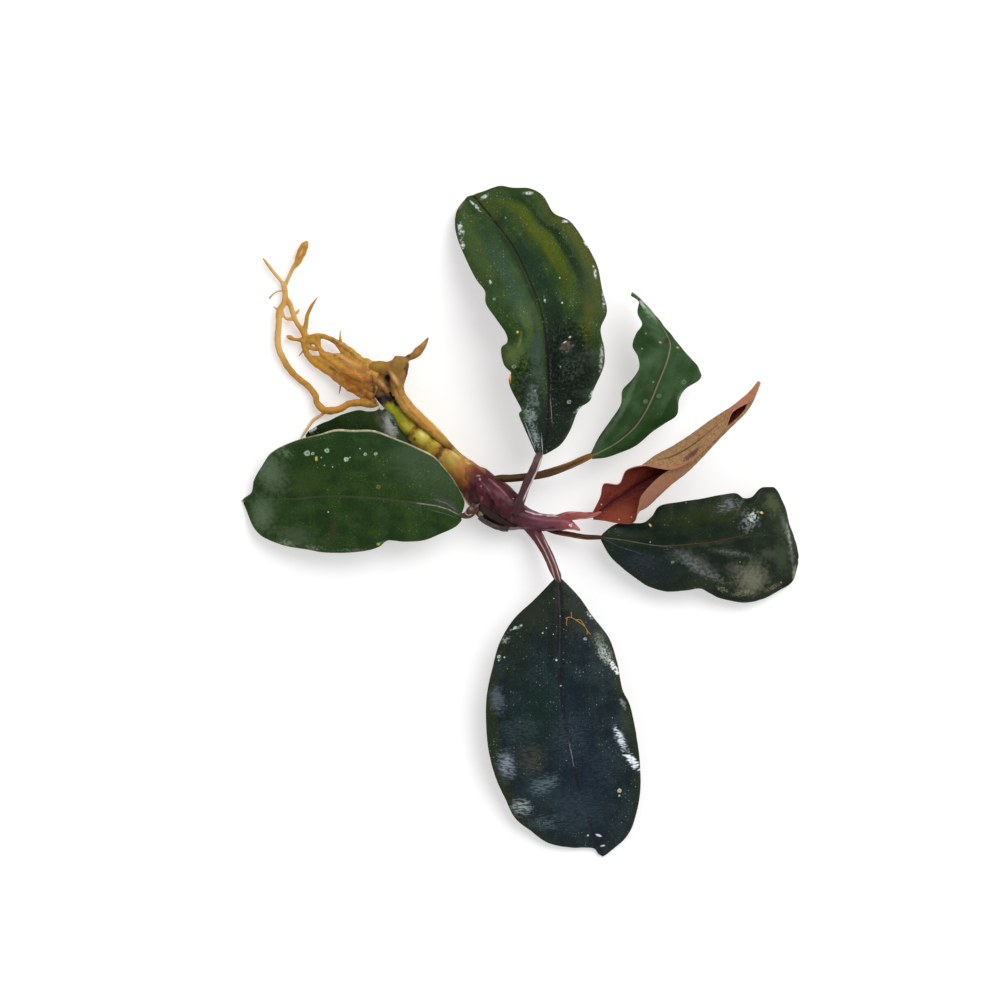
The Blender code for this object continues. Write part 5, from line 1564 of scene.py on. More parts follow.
STALK_ROUTES: dict[str, Rail] = {
    "stalk_top": (
        (4, -2.4, 4.6, 1.1), (4.8, -0.6, 5.5, 0.78), (5.35, 0.7, 5.95, 0.68), (5.95, 2.3, 6.35, 0.68),
        (6.55, 3.5, 6.6, 0.68), (7.2, 4.9, 6.95, 0.66), (7.75, 6.4, 7.2, 0.62), (8, 7.3, 7.2, 0.42),
    ),
    "stalk_upper_right": (
        (-1.2, 1.8, 3, 0.5), (0.2, 2.6, 3.4, 0.6), (1.8, 2.95, 3.7, 0.6), (4, 3.05, 3.8, 0.58),
        (7.5, 3.46, 3.9, 0.6), (9.8, 4, 4.2, 0.62), (12.6, 5, 4.8, 0.56), (14.6, 5.9, 5.3, 0.55),
        (15.9, 6.5, 5.6, 0.45), (17.2, 7.1, 5.85, 0.2),
    ),
    "stalk_young": (
        (10.8, -3.6, 4.1, 0.75), (12.4, -3.1, 4.5, 0.72), (13.9, -2.95, 4.75, 0.62),
        (15.4, -2.95, 4.8, 0.52), (16.8, -2.75, 4.7, 0.4), (17.8, -2.4, 4.7, 0.2),
    ),
    "stalk_right": (
        (9.2, -5, 2.5, 0.5), (10.6, -5.6, 2.6, 0.4), (12.8, -6, 3.2, 0.42), (15.2, -6.4, 3.8, 0.4),
        (17.2, -6.45, 4.1, 0.36), (18.6, -6.5, 4.2, 0.22),
    ),
    "stalk_bottom": (
        (6.2, -4.2, 2.6, 1.25), (7.2, -5.7, 2.8, 1), (8.15, -7.2, 3.3, 0.86), (9.35, -9.4, 4, 0.78),
        (10.25, -11.6, 4.7, 0.74), (10.75, -12.7, 5.05, 0.66), (11, -13.7, 5.2, 0.35),
    ),
    "stalk_left": (
        (-1.4, -1.2, 3.6, 0.8), (-2.3, -1.6, 4.6, 0.75), (-2.9, -2.1, 5.3, 0.78), (-3.3, -2.6, 5.5, 0.74),
        (-4, -2.95, 5.4, 0.5), (-4.9, -2.9, 5.35, 0.3),
    ),
    "stalk_under": (
        (-4.6, 1, 2.2, 0.4), (-5.25, 0.6, 2.3, 0.4), (-6.4, -0.1, 2.6, 0.42), (-7.4, -0.5, 2.8, 0.36),
        (-8.8, 0.1, 2.9, 0.25),
    ),
}
MAROON_STALK = StemFinish(
    stops=(
        (0, (45, 16, 22)), (0.4, (78, 32, 36)), (0.7, (80, 36, 36)), (0.88, (130, 85, 70)),
        (1, (50, 28, 24)),
    ),
    streak=(130, 60, 55), streak_strength=0.35, roughness=0.32, coat=0.15,
    marks=paint(
        trail,
        # A painted highlight along the stalk's right-hand ridge.
        (((8.3, 6.4), (7.5, 4.2), (6.6, 2.3), (5.75, 0.5), (5.35, -0.5)), 0.2, (620, 540, 550), 0.9, 0.1),
        (((7.75, 5.6), (7.05, 3.9), (6.15, 2.1), (5.4, 0.5)), 0.09, (30, 14, 24), 0.8, 0.1),
        (((7.1, 6.5), (7.3, 6.9)), 0.3, (300, 240, 200), 0.8, 0.3),
    ),
)
OLIVE_STALK = StemFinish(
    stops=(
        (0, (60, 28, 12)), (0.3, (52, 30, 12)), (0.6, (90, 48, 18)), (0.85, (140, 68, 18)),
        (1, (220, 95, 30)),
    ),
    streak=(200, 110, 32), streak_strength=0.3, roughness=0.36, coat=0.1,
    marks=paint(
        trail, (((6.2, 3.3), (8.6, 3.75), (11.6, 4.6), (14.6, 5.85)), 0.16, (45, 20, 10), 0.8, 0.15),
        # A painted highlight along the stalk's upper edge.
        (((10.4, 4.75), (12.6, 5.5), (14.4, 6.4), (15.8, 7.1)), 0.16, (420, 200, 65), 0.8, 0.2),
        (((12.6, 4.5), (14.4, 5.3), (15.6, 5.9)), 0.14, (300, 160, 70), 0.7, 0.2),
    ),
)
PINK_STALK = StemFinish(
    stops=((0, (240, 50, 52)), (0.6, (300, 72, 62)), (1, (300, 90, 70))), streak=(520, 240, 220),
    streak_strength=0.3, roughness=0.34, coat=0.15,
    marks=paint(
        trail, (((12.6, -2.45), (14.6, -2.3), (16.4, -2.3)), 0.12, (620, 360, 320), 0.7, 0.4),
        (((13.9, -3.5), (15.4, -3.4), (16.8, -3)), 0.13, (600, 340, 300), 0.7, 0.2),
        cloud, (12.4, -2.9, 0.7, 0.3, (90, 16, 20), 0.7, -15),
        (16.2, -2.6, 0.8, 0.25, (110, 22, 20), 0.7),
    ),
)
BROWN_STALK = StemFinish(
    stops=((0, (70, 22, 16)), (0.5, (50, 22, 14)), (1, (45, 24, 18))), streak=(180, 75, 36),
    streak_strength=0.35, roughness=0.36, coat=0.1,
    marks=paint(trail, (((11, -6), (13, -6.35), (15.4, -6.75)), 0.14, (300, 140, 60), 0.7, 0.2)),
)
RIBBED_STALK = StemFinish(
    stops=((0, (85, 20, 30)), (0.35, (90, 26, 30)), (0.8, (130, 50, 48)), (1, (90, 36, 36))),
    streak=(220, 100, 100), streaks_around=9, streak_length=0.08, roughness=0.32, coat=0.15,
    marks=paint(
        trail,
        # Painted highlights along two ridges.
        (((7.5, -6.4), (8.75, -8.6), (9.75, -10.9), (10.45, -13.2)), 0.14, (540, 360, 350), 0.9, 0.15),
        (((8.5, -6.4), (9.6, -8.8), (10.5, -10.9), (11.15, -13.2)), 0.12, (540, 380, 370), 0.9, 0.15),
        (((8, -6.4), (9.2, -8.7), (10.1, -10.9), (10.75, -13)), 0.13, (45, 10, 14), 0.85, 0.15),
    ),
)
TAN_STALK = StemFinish(
    stops=((0, (85, 45, 38)), (0.5, (66, 30, 19)), (1, (70, 34, 22))), streak=(200, 120, 80),
    streak_strength=0.35, roughness=0.36, coat=0.1,
    marks=paint(
        trail,
        # A painted highlight on the curl's inner arc.
        (((-3.85, -2.2), (-3.9, -2.65), (-3.45, -2.95), (-2.9, -2.75)), 0.13, (500, 340, 260), 0.9, 0.1),
        (((-3.7, -2.1), (-3.6, -2.5), (-3.2, -2.6)), 0.1, (50, 18, 10), 0.9, 0.1),
        cloud, (-3, -1.9, 0.5, 0.35, (240, 180, 160), 0.7),
        (-1.9, -1.3, 0.8, 0.3, (260, 200, 200), 0.7, 20),
    ),
)


@dataclass(frozen=True)
class StalkSet:
    """The leaf stalks, each with lengthwise ridges."""

    ridges: int = 5
    ridge_depth: float = 0.09
    sides: int = 30
    finishes: dict[str, StemFinish] = field(default_factory=lambda: {
        "stalk_top": MAROON_STALK, "stalk_upper_right": OLIVE_STALK, "stalk_young": PINK_STALK,
        "stalk_right": BROWN_STALK, "stalk_bottom": RIBBED_STALK, "stalk_left": TAN_STALK,
        "stalk_under": BROWN_STALK,
    })

    def build(self, shelf: GroupShelf) -> None:
        """Model and dress every stalk."""
        for number, (name, route) in enumerate(STALK_ROUTES.items()):
            shape = fluted(self.ridges, self.ridge_depth)
            tube = Tube(route, self.sides, 0.22, shape, roughen=0.05, seed=20.0 + number)
            piece = tube.build(name)
            piece.data.materials.append(self.finishes[name].material(name, shelf))
            place_piece(piece, "stalk", [name])


RHIZOME_ROUTE: Rail = (
    (-18.9, 20.9, 2.7, 1), (-18.2, 19.7, 2.4, 1.6), (-17.3, 17.4, 2.2, 1.7), (-15.9, 15.2, 2.1, 1.45),
    (-14.5, 13.2, 1.9, 1.45), (-12.6, 10.9, 1.9, 1.7), (-10.5, 9, 2, 1.9), (-8.3, 7.2, 2, 1.8),
    (-6.1, 5.4, 2.1, 2.1), (-3.5, 3, 2.3, 2.6), (-0.8, 0.5, 2.6, 3.15), (1.6, -1.3, 2.7, 3.1),
    (3.8, -2.7, 3, 2.5), (5.2, -3.3, 3.2, 1.6), (6.4, -3.6, 3.3, 1.2),
)
SHEATH_ROUTE: Rail = (
    (4.2, -2.9, 3.2, 2.2), (5.8, -3.45, 3.4, 1.75), (8, -4, 3.6, 1.4), (10.4, -4.05, 3.9, 1.25),
    (12, -4.15, 4.1, 1.1), (13.2, -4.65, 4.2, 0.62), (14.4, -5.3, 4.3, 0.16),
)
KNUCKLE_ROUTES: tuple[Rail, ...] = (
    ((-19.6, 20.5, 3.2, 0.8), (-18, 20.8, 3.6, 1), (-16.4, 20.6, 3.9, 1.1), (-15, 21, 4.3, 1.15)),
    (
        (-14.3, 22.5, 5, 0.95), (-14.4, 21.4, 4.9, 1.45), (-14.6, 19.6, 4.5, 1.35),
        (-14.9, 17.8, 4.2, 1.1), (-14.8, 16.2, 4, 0.85),
    ),
    (
        (-16.5, 21.2, 4.6, 0.35), (-15.9, 19.9, 5.2, 0.42), (-15.1, 18.7, 5.4, 0.5),
        (-14.4, 17.6, 5.2, 0.6), (-14.1, 16.3, 4.8, 0.6),
    ),
    (
        (-18.9, 19.2, 3.8, 0.7), (-17.9, 18.4, 4.2, 0.5), (-16.9, 17.6, 4.3, 0.45),
        (-16.3, 16.7, 3.9, 0.38),
    ),
    ((-19.2, 18.8, 2.6, 1.6), (-17.4, 18.4, 2.6, 1.7), (-15.8, 17.6, 2.6, 1.5)),
    (
        (-13.2, 22.2, 5.1, 0.5), (-12.2, 22.6, 5.3, 0.58), (-11.4, 23.3, 5.5, 0.72),
        (-10.5, 24.4, 5.8, 0.44), (-9.8, 25.5, 6, 0.12),
    ),
)
BRACT_RAILS: tuple[Rail, ...] = (
    ((-1.5, -2.9, 4.8), (-0.3, -3.8, 4.9), (1.6, -4.6, 4.85), (3.1, -5, 4.75)),
    ((-1.9, -3.4, 2.65), (-0.7, -4.3, 2.7), (1.3, -5.2, 2.9), (2.8, -5.5, 3.1)),
    ((-1.6, -3.1, 0.75), (-0.4, -3.9, 0.8), (1.5, -4.8, 1.2), (3.05, -5.1, 1.65)),
)
RHIZOME_FINISH = StemFinish(
    stops=(
        (0, (240, 120, 42)), (0.13, (160, 80, 30)), (0.155, (28, 16, 20)), (0.172, (28, 16, 20)),
        (0.19, (340, 360, 18)), (0.24, (390, 390, 18)), (0.325, (460, 390, 30)), (0.345, (230, 90, 18)),
        (0.365, (500, 440, 40)), (0.41, (540, 470, 55)), (0.43, (340, 240, 25)), (0.45, (440, 350, 35)),
        (0.475, (400, 220, 25)), (0.495, (95, 28, 12)), (0.52, (470, 310, 50)), (0.58, (440, 240, 45)),
        (0.63, (340, 140, 30)), (0.665, (190, 66, 20)), (0.71, (70, 20, 22)), (0.85, (66, 19, 26)),
        (1, (50, 13, 20)),
    ),
    streak=(340, 160, 80), streak_strength=0.14, streaks_around=3, streak_length=0.5, mottle=0.2,
    roughness=0.36,
    marks=paint(
        # Painted highlights on two swollen joints.
        cloud, (-13.4, 11.3, 1, 0.6, (460, 450, 60), 0.8, -45),
        (-10.9, 10, 0.9, 0.6, (640, 620, 220), 0.85, -45),
        (-16.2, 14.3, 1.2, 0.9, (420, 430, 30), 0.85, -40),
        trail,
        (
            ((-18.6, 14.3), (-18.2, 15.5), (-17, 16.1), (-15.7, 15.6), (-14.7, 14.5)), 0.5, (17, 11, 15),
            0.95, 0.2,
        ),
        cloud, (-16.9, 17.4, 1.6, 1, (30, 17, 20), 0.9),
        trail,
        (
            ((-13.9, 9.8), (-11.8, 7.9), (-9.4, 6), (-7.4, 3.9), (-5.3, 1.2), (-4.2, -0.4), (-3.4, -1.8)),
            0.55, (600, 360, 150), 0.85, 0.35,
        ),
        cloud, (-14, 9.3, 1.1, 0.5, (420, 190, 20), 0.8, -45),
        (-11.5, 8.2, 1.2, 0.5, (440, 180, 40), 0.8, -35), (-12.1, 9.3, 0.4, 0.5, (90, 34, 18), 0.8),
        (-7.2, 8.3, 0.5, 0.9, (110, 32, 14), 0.8, -40), (-6.2, 5.6, 1.6, 0.8, (400, 330, 70), 0.8, -45),
        # A painted highlight on the amber joint.
        (-5.6, 6.9, 1.5, 0.5, (600, 480, 140), 0.85, -45),
        (-3.2, 5.2, 1.6, 0.35, (520, 340, 100), 0.8, -38),
        (-4.9, 3.7, 0.6, 0.5, (360, 100, 34), 0.7, -40), (-3.8, 1.6, 0.7, 1.8, (360, 170, 50), 0.7, 32),
        (-2, 2.6, 0.6, 1.6, (60, 40, 18), 0.6, 30), (-1.6, 1.6, 0.5, 1.4, (120, 26, 30), 0.8, 20),
        mark, (-3.8, 6, 0.35, 0.3, (420, 320, 220), 0.8, 0, 0.4),
    ),
)
SHEATH_FINISH = StemFinish(
    stops=(
        (0, (26, 8, 14)), (0.15, (70, 18, 32)), (0.4, (120, 32, 52)), (0.68, (170, 44, 58)),
        (0.82, (300, 72, 74)), (1, (440, 170, 140)),
    ),
    streak=(300, 130, 140), streak_strength=0.25, mottle=0.3, roughness=0.3, coat=0.15,
    marks=paint(
        cloud, (5, -2, 1.5, 0.9, (20, 9, 14), 0.85, -30),
        trail, (((6, -1.6), (7.2, -2.1), (8.6, -2.45)), 0.3, (40, 14, 16), 0.8, 0.2),
        # A painted highlight along the top.
        (((5.9, -2.3), (7.3, -2.75), (9.2, -3), (12.2, -3.05)), 0.17, (640, 460, 480), 0.9, 0.3),
        (((7, -3.3), (9.4, -3.75), (11.6, -3.75)), 0.3, (230, 85, 110), 0.6, 0.3),
        (((6.2, -4.4), (8.6, -5), (11.4, -5.1)), 0.16, (50, 10, 18), 0.75, 0.3),
        cloud, (5.6, -4.4, 1, 0.5, (120, 20, 36), 0.7, -30), (8.6, -3.7, 1.4, 0.6, (150, 62, 90)),
        mark, (9.8, -4.85, 0.9, 0.22, (70, 10, 22), 0.9, 5, 0.3),
        (8.6, -2.95, 0.6, 0.16, (70, 16, 26), 0.7, -10, 0.3),
        # A painted glint.
        holed_sheen_or_mark, (12.95, -4.5, 0.35, 0.35, (860, 700, 700), 0.9, 0, 0.6, 0.5, 0.5),
        mark, (13, -5.2, 1.4, 0.12, (700, 440, 420), 0.8, -3, 0.2),
        cloud, (11.6, -4.1, 0.7, 0.5, (270, 70, 75)),
    ),
)
KNUCKLE_FINISH = StemFinish(
    stops=((0, (300, 150, 40)), (1, (300, 150, 40))), streak=(400, 220, 70), streak_strength=0.3,
    mottle=0.35, roughness=0.5, coat=0.05, relief=0.7,
    marks=paint(
        cloud, (-17.8, 21, 1.8, 0.7, (300, 200, 22), 0.85), (-14.8, 21.4, 1.4, 1.4, (290, 170, 30), 0.7),
        (-14.4, 20.4, 0.9, 2, (200, 120, 24), 0.7), (-13.3, 19.9, 0.55, 2.3, (45, 34, 22), 0.9),
        (-13.6, 22.5, 1.2, 0.4, (70, 52, 20), 0.8, -15), (-13, 22.5, 0.6, 0.5, (80, 40, 26), 0.85),
        (-11.6, 23.2, 0.9, 0.7, (440, 190, 60), 0.9, 45),
        (-10.6, 24.5, 0.8, 0.4, (450, 280, 90), 0.8, 50), (-19, 19.2, 0.9, 1.2, (330, 150, 50)),
        (-18.8, 17.6, 0.6, 1.6, (60, 30, 22), 0.85), (-15.2, 18.9, 0.5, 1.9, (560, 340, 120), 0.9, 27),
        (-14.2, 16.6, 0.8, 1.2, (480, 240, 60), 0.8, 27),
        (-17.3, 18.2, 0.5, 1.1, (480, 240, 80), 0.85, 35),
        (-16.3, 18.7, 0.75, 1.6, (26, 15, 24), 0.95, 15), (-18.1, 17.2, 0.6, 1, (80, 42, 28), 0.8),
        (-16.9, 16.2, 1.6, 0.55, (26, 16, 22), 0.9, -12),
    ),
)
BRACT_FINISH = LeafFinish(
    dark=(8, 6, 6), body=(16, 10, 8), midrib=(30, 16, 12), vein=(50, 24, 16), margin=(40, 20, 13),
    edge=(34, 17, 12), under=(24, 14, 11), under_vein=(60, 28, 18),
    marks=paint(
        mark, (3.2, -5.2, 0.4, 0.25, (240, 150, 60), 0.8, -20, 0.3),
        cloud, (0.9, -4.5, 1.6, 0.3, (90, 36, 20), 0.8, -28),
        # Painted glints.
        holed_sheen_or_mark, (1.2, -3.9, 1.6, 0.3, (200, 170, 170), 0.7, -30, 0.8, 0.6, 0.8, Grain.FINE),
        (-0.6, -3.3, 0.8, 0.3, (260, 200, 130), 0.7, -20, 0.8, 0.6, 0.8, Grain.FINE),
    ),
    roughness=0.35, coat=0.1,
)


CROWN_FINISH = StemFinish(
    stops=(
        (0, (320, 140, 34)), (0.08, (260, 100, 28)), (0.18, (120, 32, 18)), (0.3, (62, 12, 16)),
        (0.5, (74, 16, 22)), (1, (40, 10, 15)),
    ),
    streak=(130, 50, 58), streak_strength=0.25, streak_length=0.25, mottle=0.3, roughness=0.34, coat=0.1,
    marks=paint(
        # A painted highlight along the upper edge.
        trail, (((0.5, 3.75), (1.1, 3), (2.4, 2.15)), 0.13, (460, 280, 170), 0.9, 0.15),
        cloud, (2.6, 1.5, 1.2, 0.35, (100, 18, 16), 0.75, -42),
        (1.7, 0.5, 1.5, 0.75, (150, 46, 62), 0.8, -42), (3.2, -0.5, 0.7, 0.4, (150, 55, 60), 0.7, -30),
        mark, (3.75, -0.25, 0.2, 0.12, (500, 340, 240), 0.85, -20, 0.2),
        cloud, (-1.6, 4.7, 1.9, 0.6, (250, 110, 30), 0.85, -38),
        (-3.9, 2.4, 0.7, 1.6, (250, 90, 26), 0.8, -25), (-3.7, 0, 0.5, 1.3, (180, 70, 28), 0.8),
        # Black trails down the grooves between the scales: painted shade in the creases.
        trail, (((-2.3, 2.2), (-2.2, 0.8), (-1.8, -0.6)), 0.35, (16, 6, 8), 0.8, 0.4),
        (((-0.7, 1), (0.1, -0.4), (0.8, -1.5)), 0.4, (14, 6, 9), 0.8, 0.4),
        (((0.2, 2.6), (1.6, 1.4), (2.7, 0.2)), 0.28, (260, 120, 140), 0.7, 0.3),
        (((-1.5, 2.6), (-0.6, 1.6), (0, 0.8)), 0.2, (190, 70, 80), 0.6, 0.3),
        cloud, (-3, 3.5, 0.8, 0.6, (100, 52, 26), 0.6, -30),
        # Painted highlights.
        holed_sheen_or_mark, (-1.8, 3.4, 0.5, 0.16, (360, 240, 260), 0.8, 5, 0, 0.4, 0.7),
        (-1.6, 2.9, 0.22, 0.3, (360, 260, 280), 0.75, 20, 0, 0.4, 0.7),
        (-1.45, 1.75, 0.16, 0.22, (260, 200, 220), 0.7, 0, 0, 0.3, 0.7),
        cloud, (-1.9, 1, 0.5, 1.1, (85, 22, 24), 0.7, 10), (-2.9, 1.2, 0.6, 1.6, (18, 9, 10), 0.8, 10),
        (0.2, -1.6, 0.4, 1.2, (10, 5, 7), 0.9, 12), (-1.3, -0.2, 0.26, 0.62, (240, 80, 58), 0.85, -8),
        (-2.4, -0.5, 0.4, 0.9, (60, 32, 34), 0.7), (0.5, -0.9, 0.5, 0.9, (14, 7, 10), 0.85, 10),
        (1.4, -2.2, 0.8, 1, (18, 10, 14), 0.7, 30),
    ),
)
DARK_SCALE_FINISH = StemFinish(
    stops=((0, (45, 22, 20)), (0.5, (20, 12, 10)), (1, (16, 10, 10))), streak=(75, 50, 42),
    streak_strength=0.3, mottle=0.3, roughness=0.3, coat=0.15,
    marks=paint(
        # A painted highlight line.
        trail, (((-0.6, -1.15), (0.35, -1.9), (1.2, -2.65)), 0.13, (500, 410, 440), 0.95, 0.15),
        cloud, (1.2, -2.8, 0.5, 0.2, (100, 80, 90), 0.7, -40),
        holed_sheen_or_mark, (-1.9, -1, 0.9, 0.35, (280, 230, 230), 0.8, 15, 0.3, 0.5, 0.7),
    ),
)
BUD_FINISH = StemFinish(
    stops=((0, (300, 210, 80)), (1, (330, 240, 120))), streak=(220, 190, 60), mottle=0.3, coat=0.05,
    marks=paint(
        cloud, (-1.25, -1.9, 0.45, 0.3, (150, 120, 40), 0.8),
        (-1.35, -2.9, 0.45, 0.2, (420, 320, 190), 0.8),
    ),
)
BUD_ROUTE: Rail = (
    (-1.1, -1.6, 4.3, 0.3), (-1.25, -1.95, 4.5, 0.5), (-1.3, -2.4, 4.4, 0.58), (-1.35, -2.85, 4.1, 0.48),
    (-1.4, -3.1, 3.9, 0.2),
)
MAUVE_SCALE_FINISH = StemFinish(
    stops=((0, (110, 60, 70)), (0.6, (200, 120, 130)), (1, (130, 50, 60))), streak=(280, 180, 190),
    streak_strength=0.3, mottle=0.2, roughness=0.34, coat=0.1,
)
CROWN_SCALES: tuple[tuple[Scale, StemFinish], ...] = (
    (
        Scale((
            (0.625, -44.0, -22.0), (0.665, -72.0, 4.0), (0.73, -86.0, 8.0), (0.80, -88.0, 8.0),
            (0.86, -84.0, 20.0),
            (0.90, -70.0, 30.0), (0.925, -30.0, 20.0),
        ), 0.22, seed=3.0),
        CROWN_FINISH,
    ),
    (
        Scale((
            (0.655, 14.0, 38.0), (0.70, 0.0, 60.0), (0.75, -2.0, 66.0), (0.80, 2.0, 62.0),
            (0.85, 14.0, 50.0),
            (0.87, 22.0, 40.0),
        ), 0.06, seed=5.0),
        CROWN_FINISH,
    ),
    (
        Scale((
            (0.75, 34.0, 96.0), (0.80, 30.0, 100.0), (0.86, 30.0, 100.0), (0.92, 36.0, 100.0),
            (0.96, 50.0, 96.0),
        ), 0.26, seed=7.0),
        DARK_SCALE_FINISH,
    ),
    (
        Scale(((0.90, 60.0, 100.0), (0.94, 56.0, 110.0), (0.98, 60.0, 110.0)), 0.34, seed=9.0),
        MAUVE_SCALE_FINISH,
    ),
)


@dataclass(frozen=True)
class Rhizome:
    """The creeping stem with its node rings and swollen joints, and the scales on its crown."""

    ring_places: tuple[float, ...] = (0.345, 0.43, 0.495)
    ring_depth: float = 0.12
    ring_width: float = 0.009
    sides: int = 60

    def swelling(self, along: np.ndarray, angle: np.ndarray) -> np.ndarray:
        """Return the radius factor: sunk node rings with a bulging joint after each."""
        factor = 1.0 + 0.02 * np.sin(3.0 * angle + 19.0 * along)
        for ring in self.ring_places:
            factor = factor - self.ring_depth * bell(along - ring, self.ring_width)
            factor = factor + 0.06 * bell(along - ring - 0.04, 0.025)
        return factor

    def build(self, shelf: GroupShelf) -> None:
        """Model and dress the rhizome and its scales."""
        tube = Tube(
            RHIZOME_ROUTE, self.sides, 0.16, self.swelling, roughen=0.045, seed=40.0, lowest=0.0
        )
        piece = tube.build("rhizome")
        piece.data.materials.append(RHIZOME_FINISH.material("rhizome", shelf))
        place_piece(piece, "rhizome", ["rhizome"])
        for number, (scale, finish) in enumerate(CROWN_SCALES):
            name = "crown_scale_%d" % (number + 1)
            cover = scale.build(name, tube)
            cover.data.materials.append(finish.material(name, shelf))
            place_piece(cover, "rhizome", [])
        bud = Tube(BUD_ROUTE, 24, 0.1, None, roughen=0.12, seed=44.0).build("bud")
        bud.data.materials.append(BUD_FINISH.material("bud", shelf))
        place_piece(bud, "rhizome", [])


@dataclass(frozen=True)
class Sheath:
    """The pink sheath round the growing tip, which ends in a point beside the young stalk."""

    sides: int = 40

    def swelling(self, along: np.ndarray, angle: np.ndarray) -> np.ndarray:
        """Return the radius factor of a few soft lengthwise folds."""
        return 1.0 + 0.05 * np.cos(3.0 * angle + 0.6) + 0.03 * np.cos(7.0 * angle) + 0.0 * along

    def build(self, shelf: GroupShelf) -> None:
        """Model and dress the sheath."""
        tube = Tube(SHEATH_ROUTE, self.sides, 0.18, self.swelling, roughen=0.05, seed=50.0)
        piece = tube.build("sheath")
        piece.data.materials.append(SHEATH_FINISH.material("sheath", shelf))
        place_piece(piece, "sheath", ["sheath"])


@dataclass(frozen=True)
class OldRemains:
    """The dead pieces: the bract, and the old end with its stump and spur grown together."""

    voxel: float = 0.13

    def build(self, shelf: GroupShelf) -> None:
        """Model and dress each of them."""
        Blade(
            "bract", "old_wood", BRACT_RAILS, BRACT_FINISH, camber=0.1, thickness=0.3, rows=40,
            strips=10, groove=0.0, quilting=0.02, crinkle=0.08, crinkle_size=0.9, seed=8.0,
        ).build(shelf)
        lobes = [
            Tube(route, 20, 0.25, None, roughen=0.14, seed=60.0 + number).build("lobe")
            for number, route in enumerate(KNUCKLE_ROUTES)
        ]
        knuckle = join("old_end", lobes)
        apply_modifier(knuckle, "REMESH", mode="VOXEL", voxel_size=self.voxel * MILLIMETRE)
        apply_modifier(knuckle, "SMOOTH", factor=0.5, iterations=3)
        smooth_shade(knuckle, 80.0)
        knuckle.data.materials.append(KNUCKLE_FINISH.material("old_end", shelf))
        place_piece(knuckle, "old_wood", ["old_stump", "spur"])


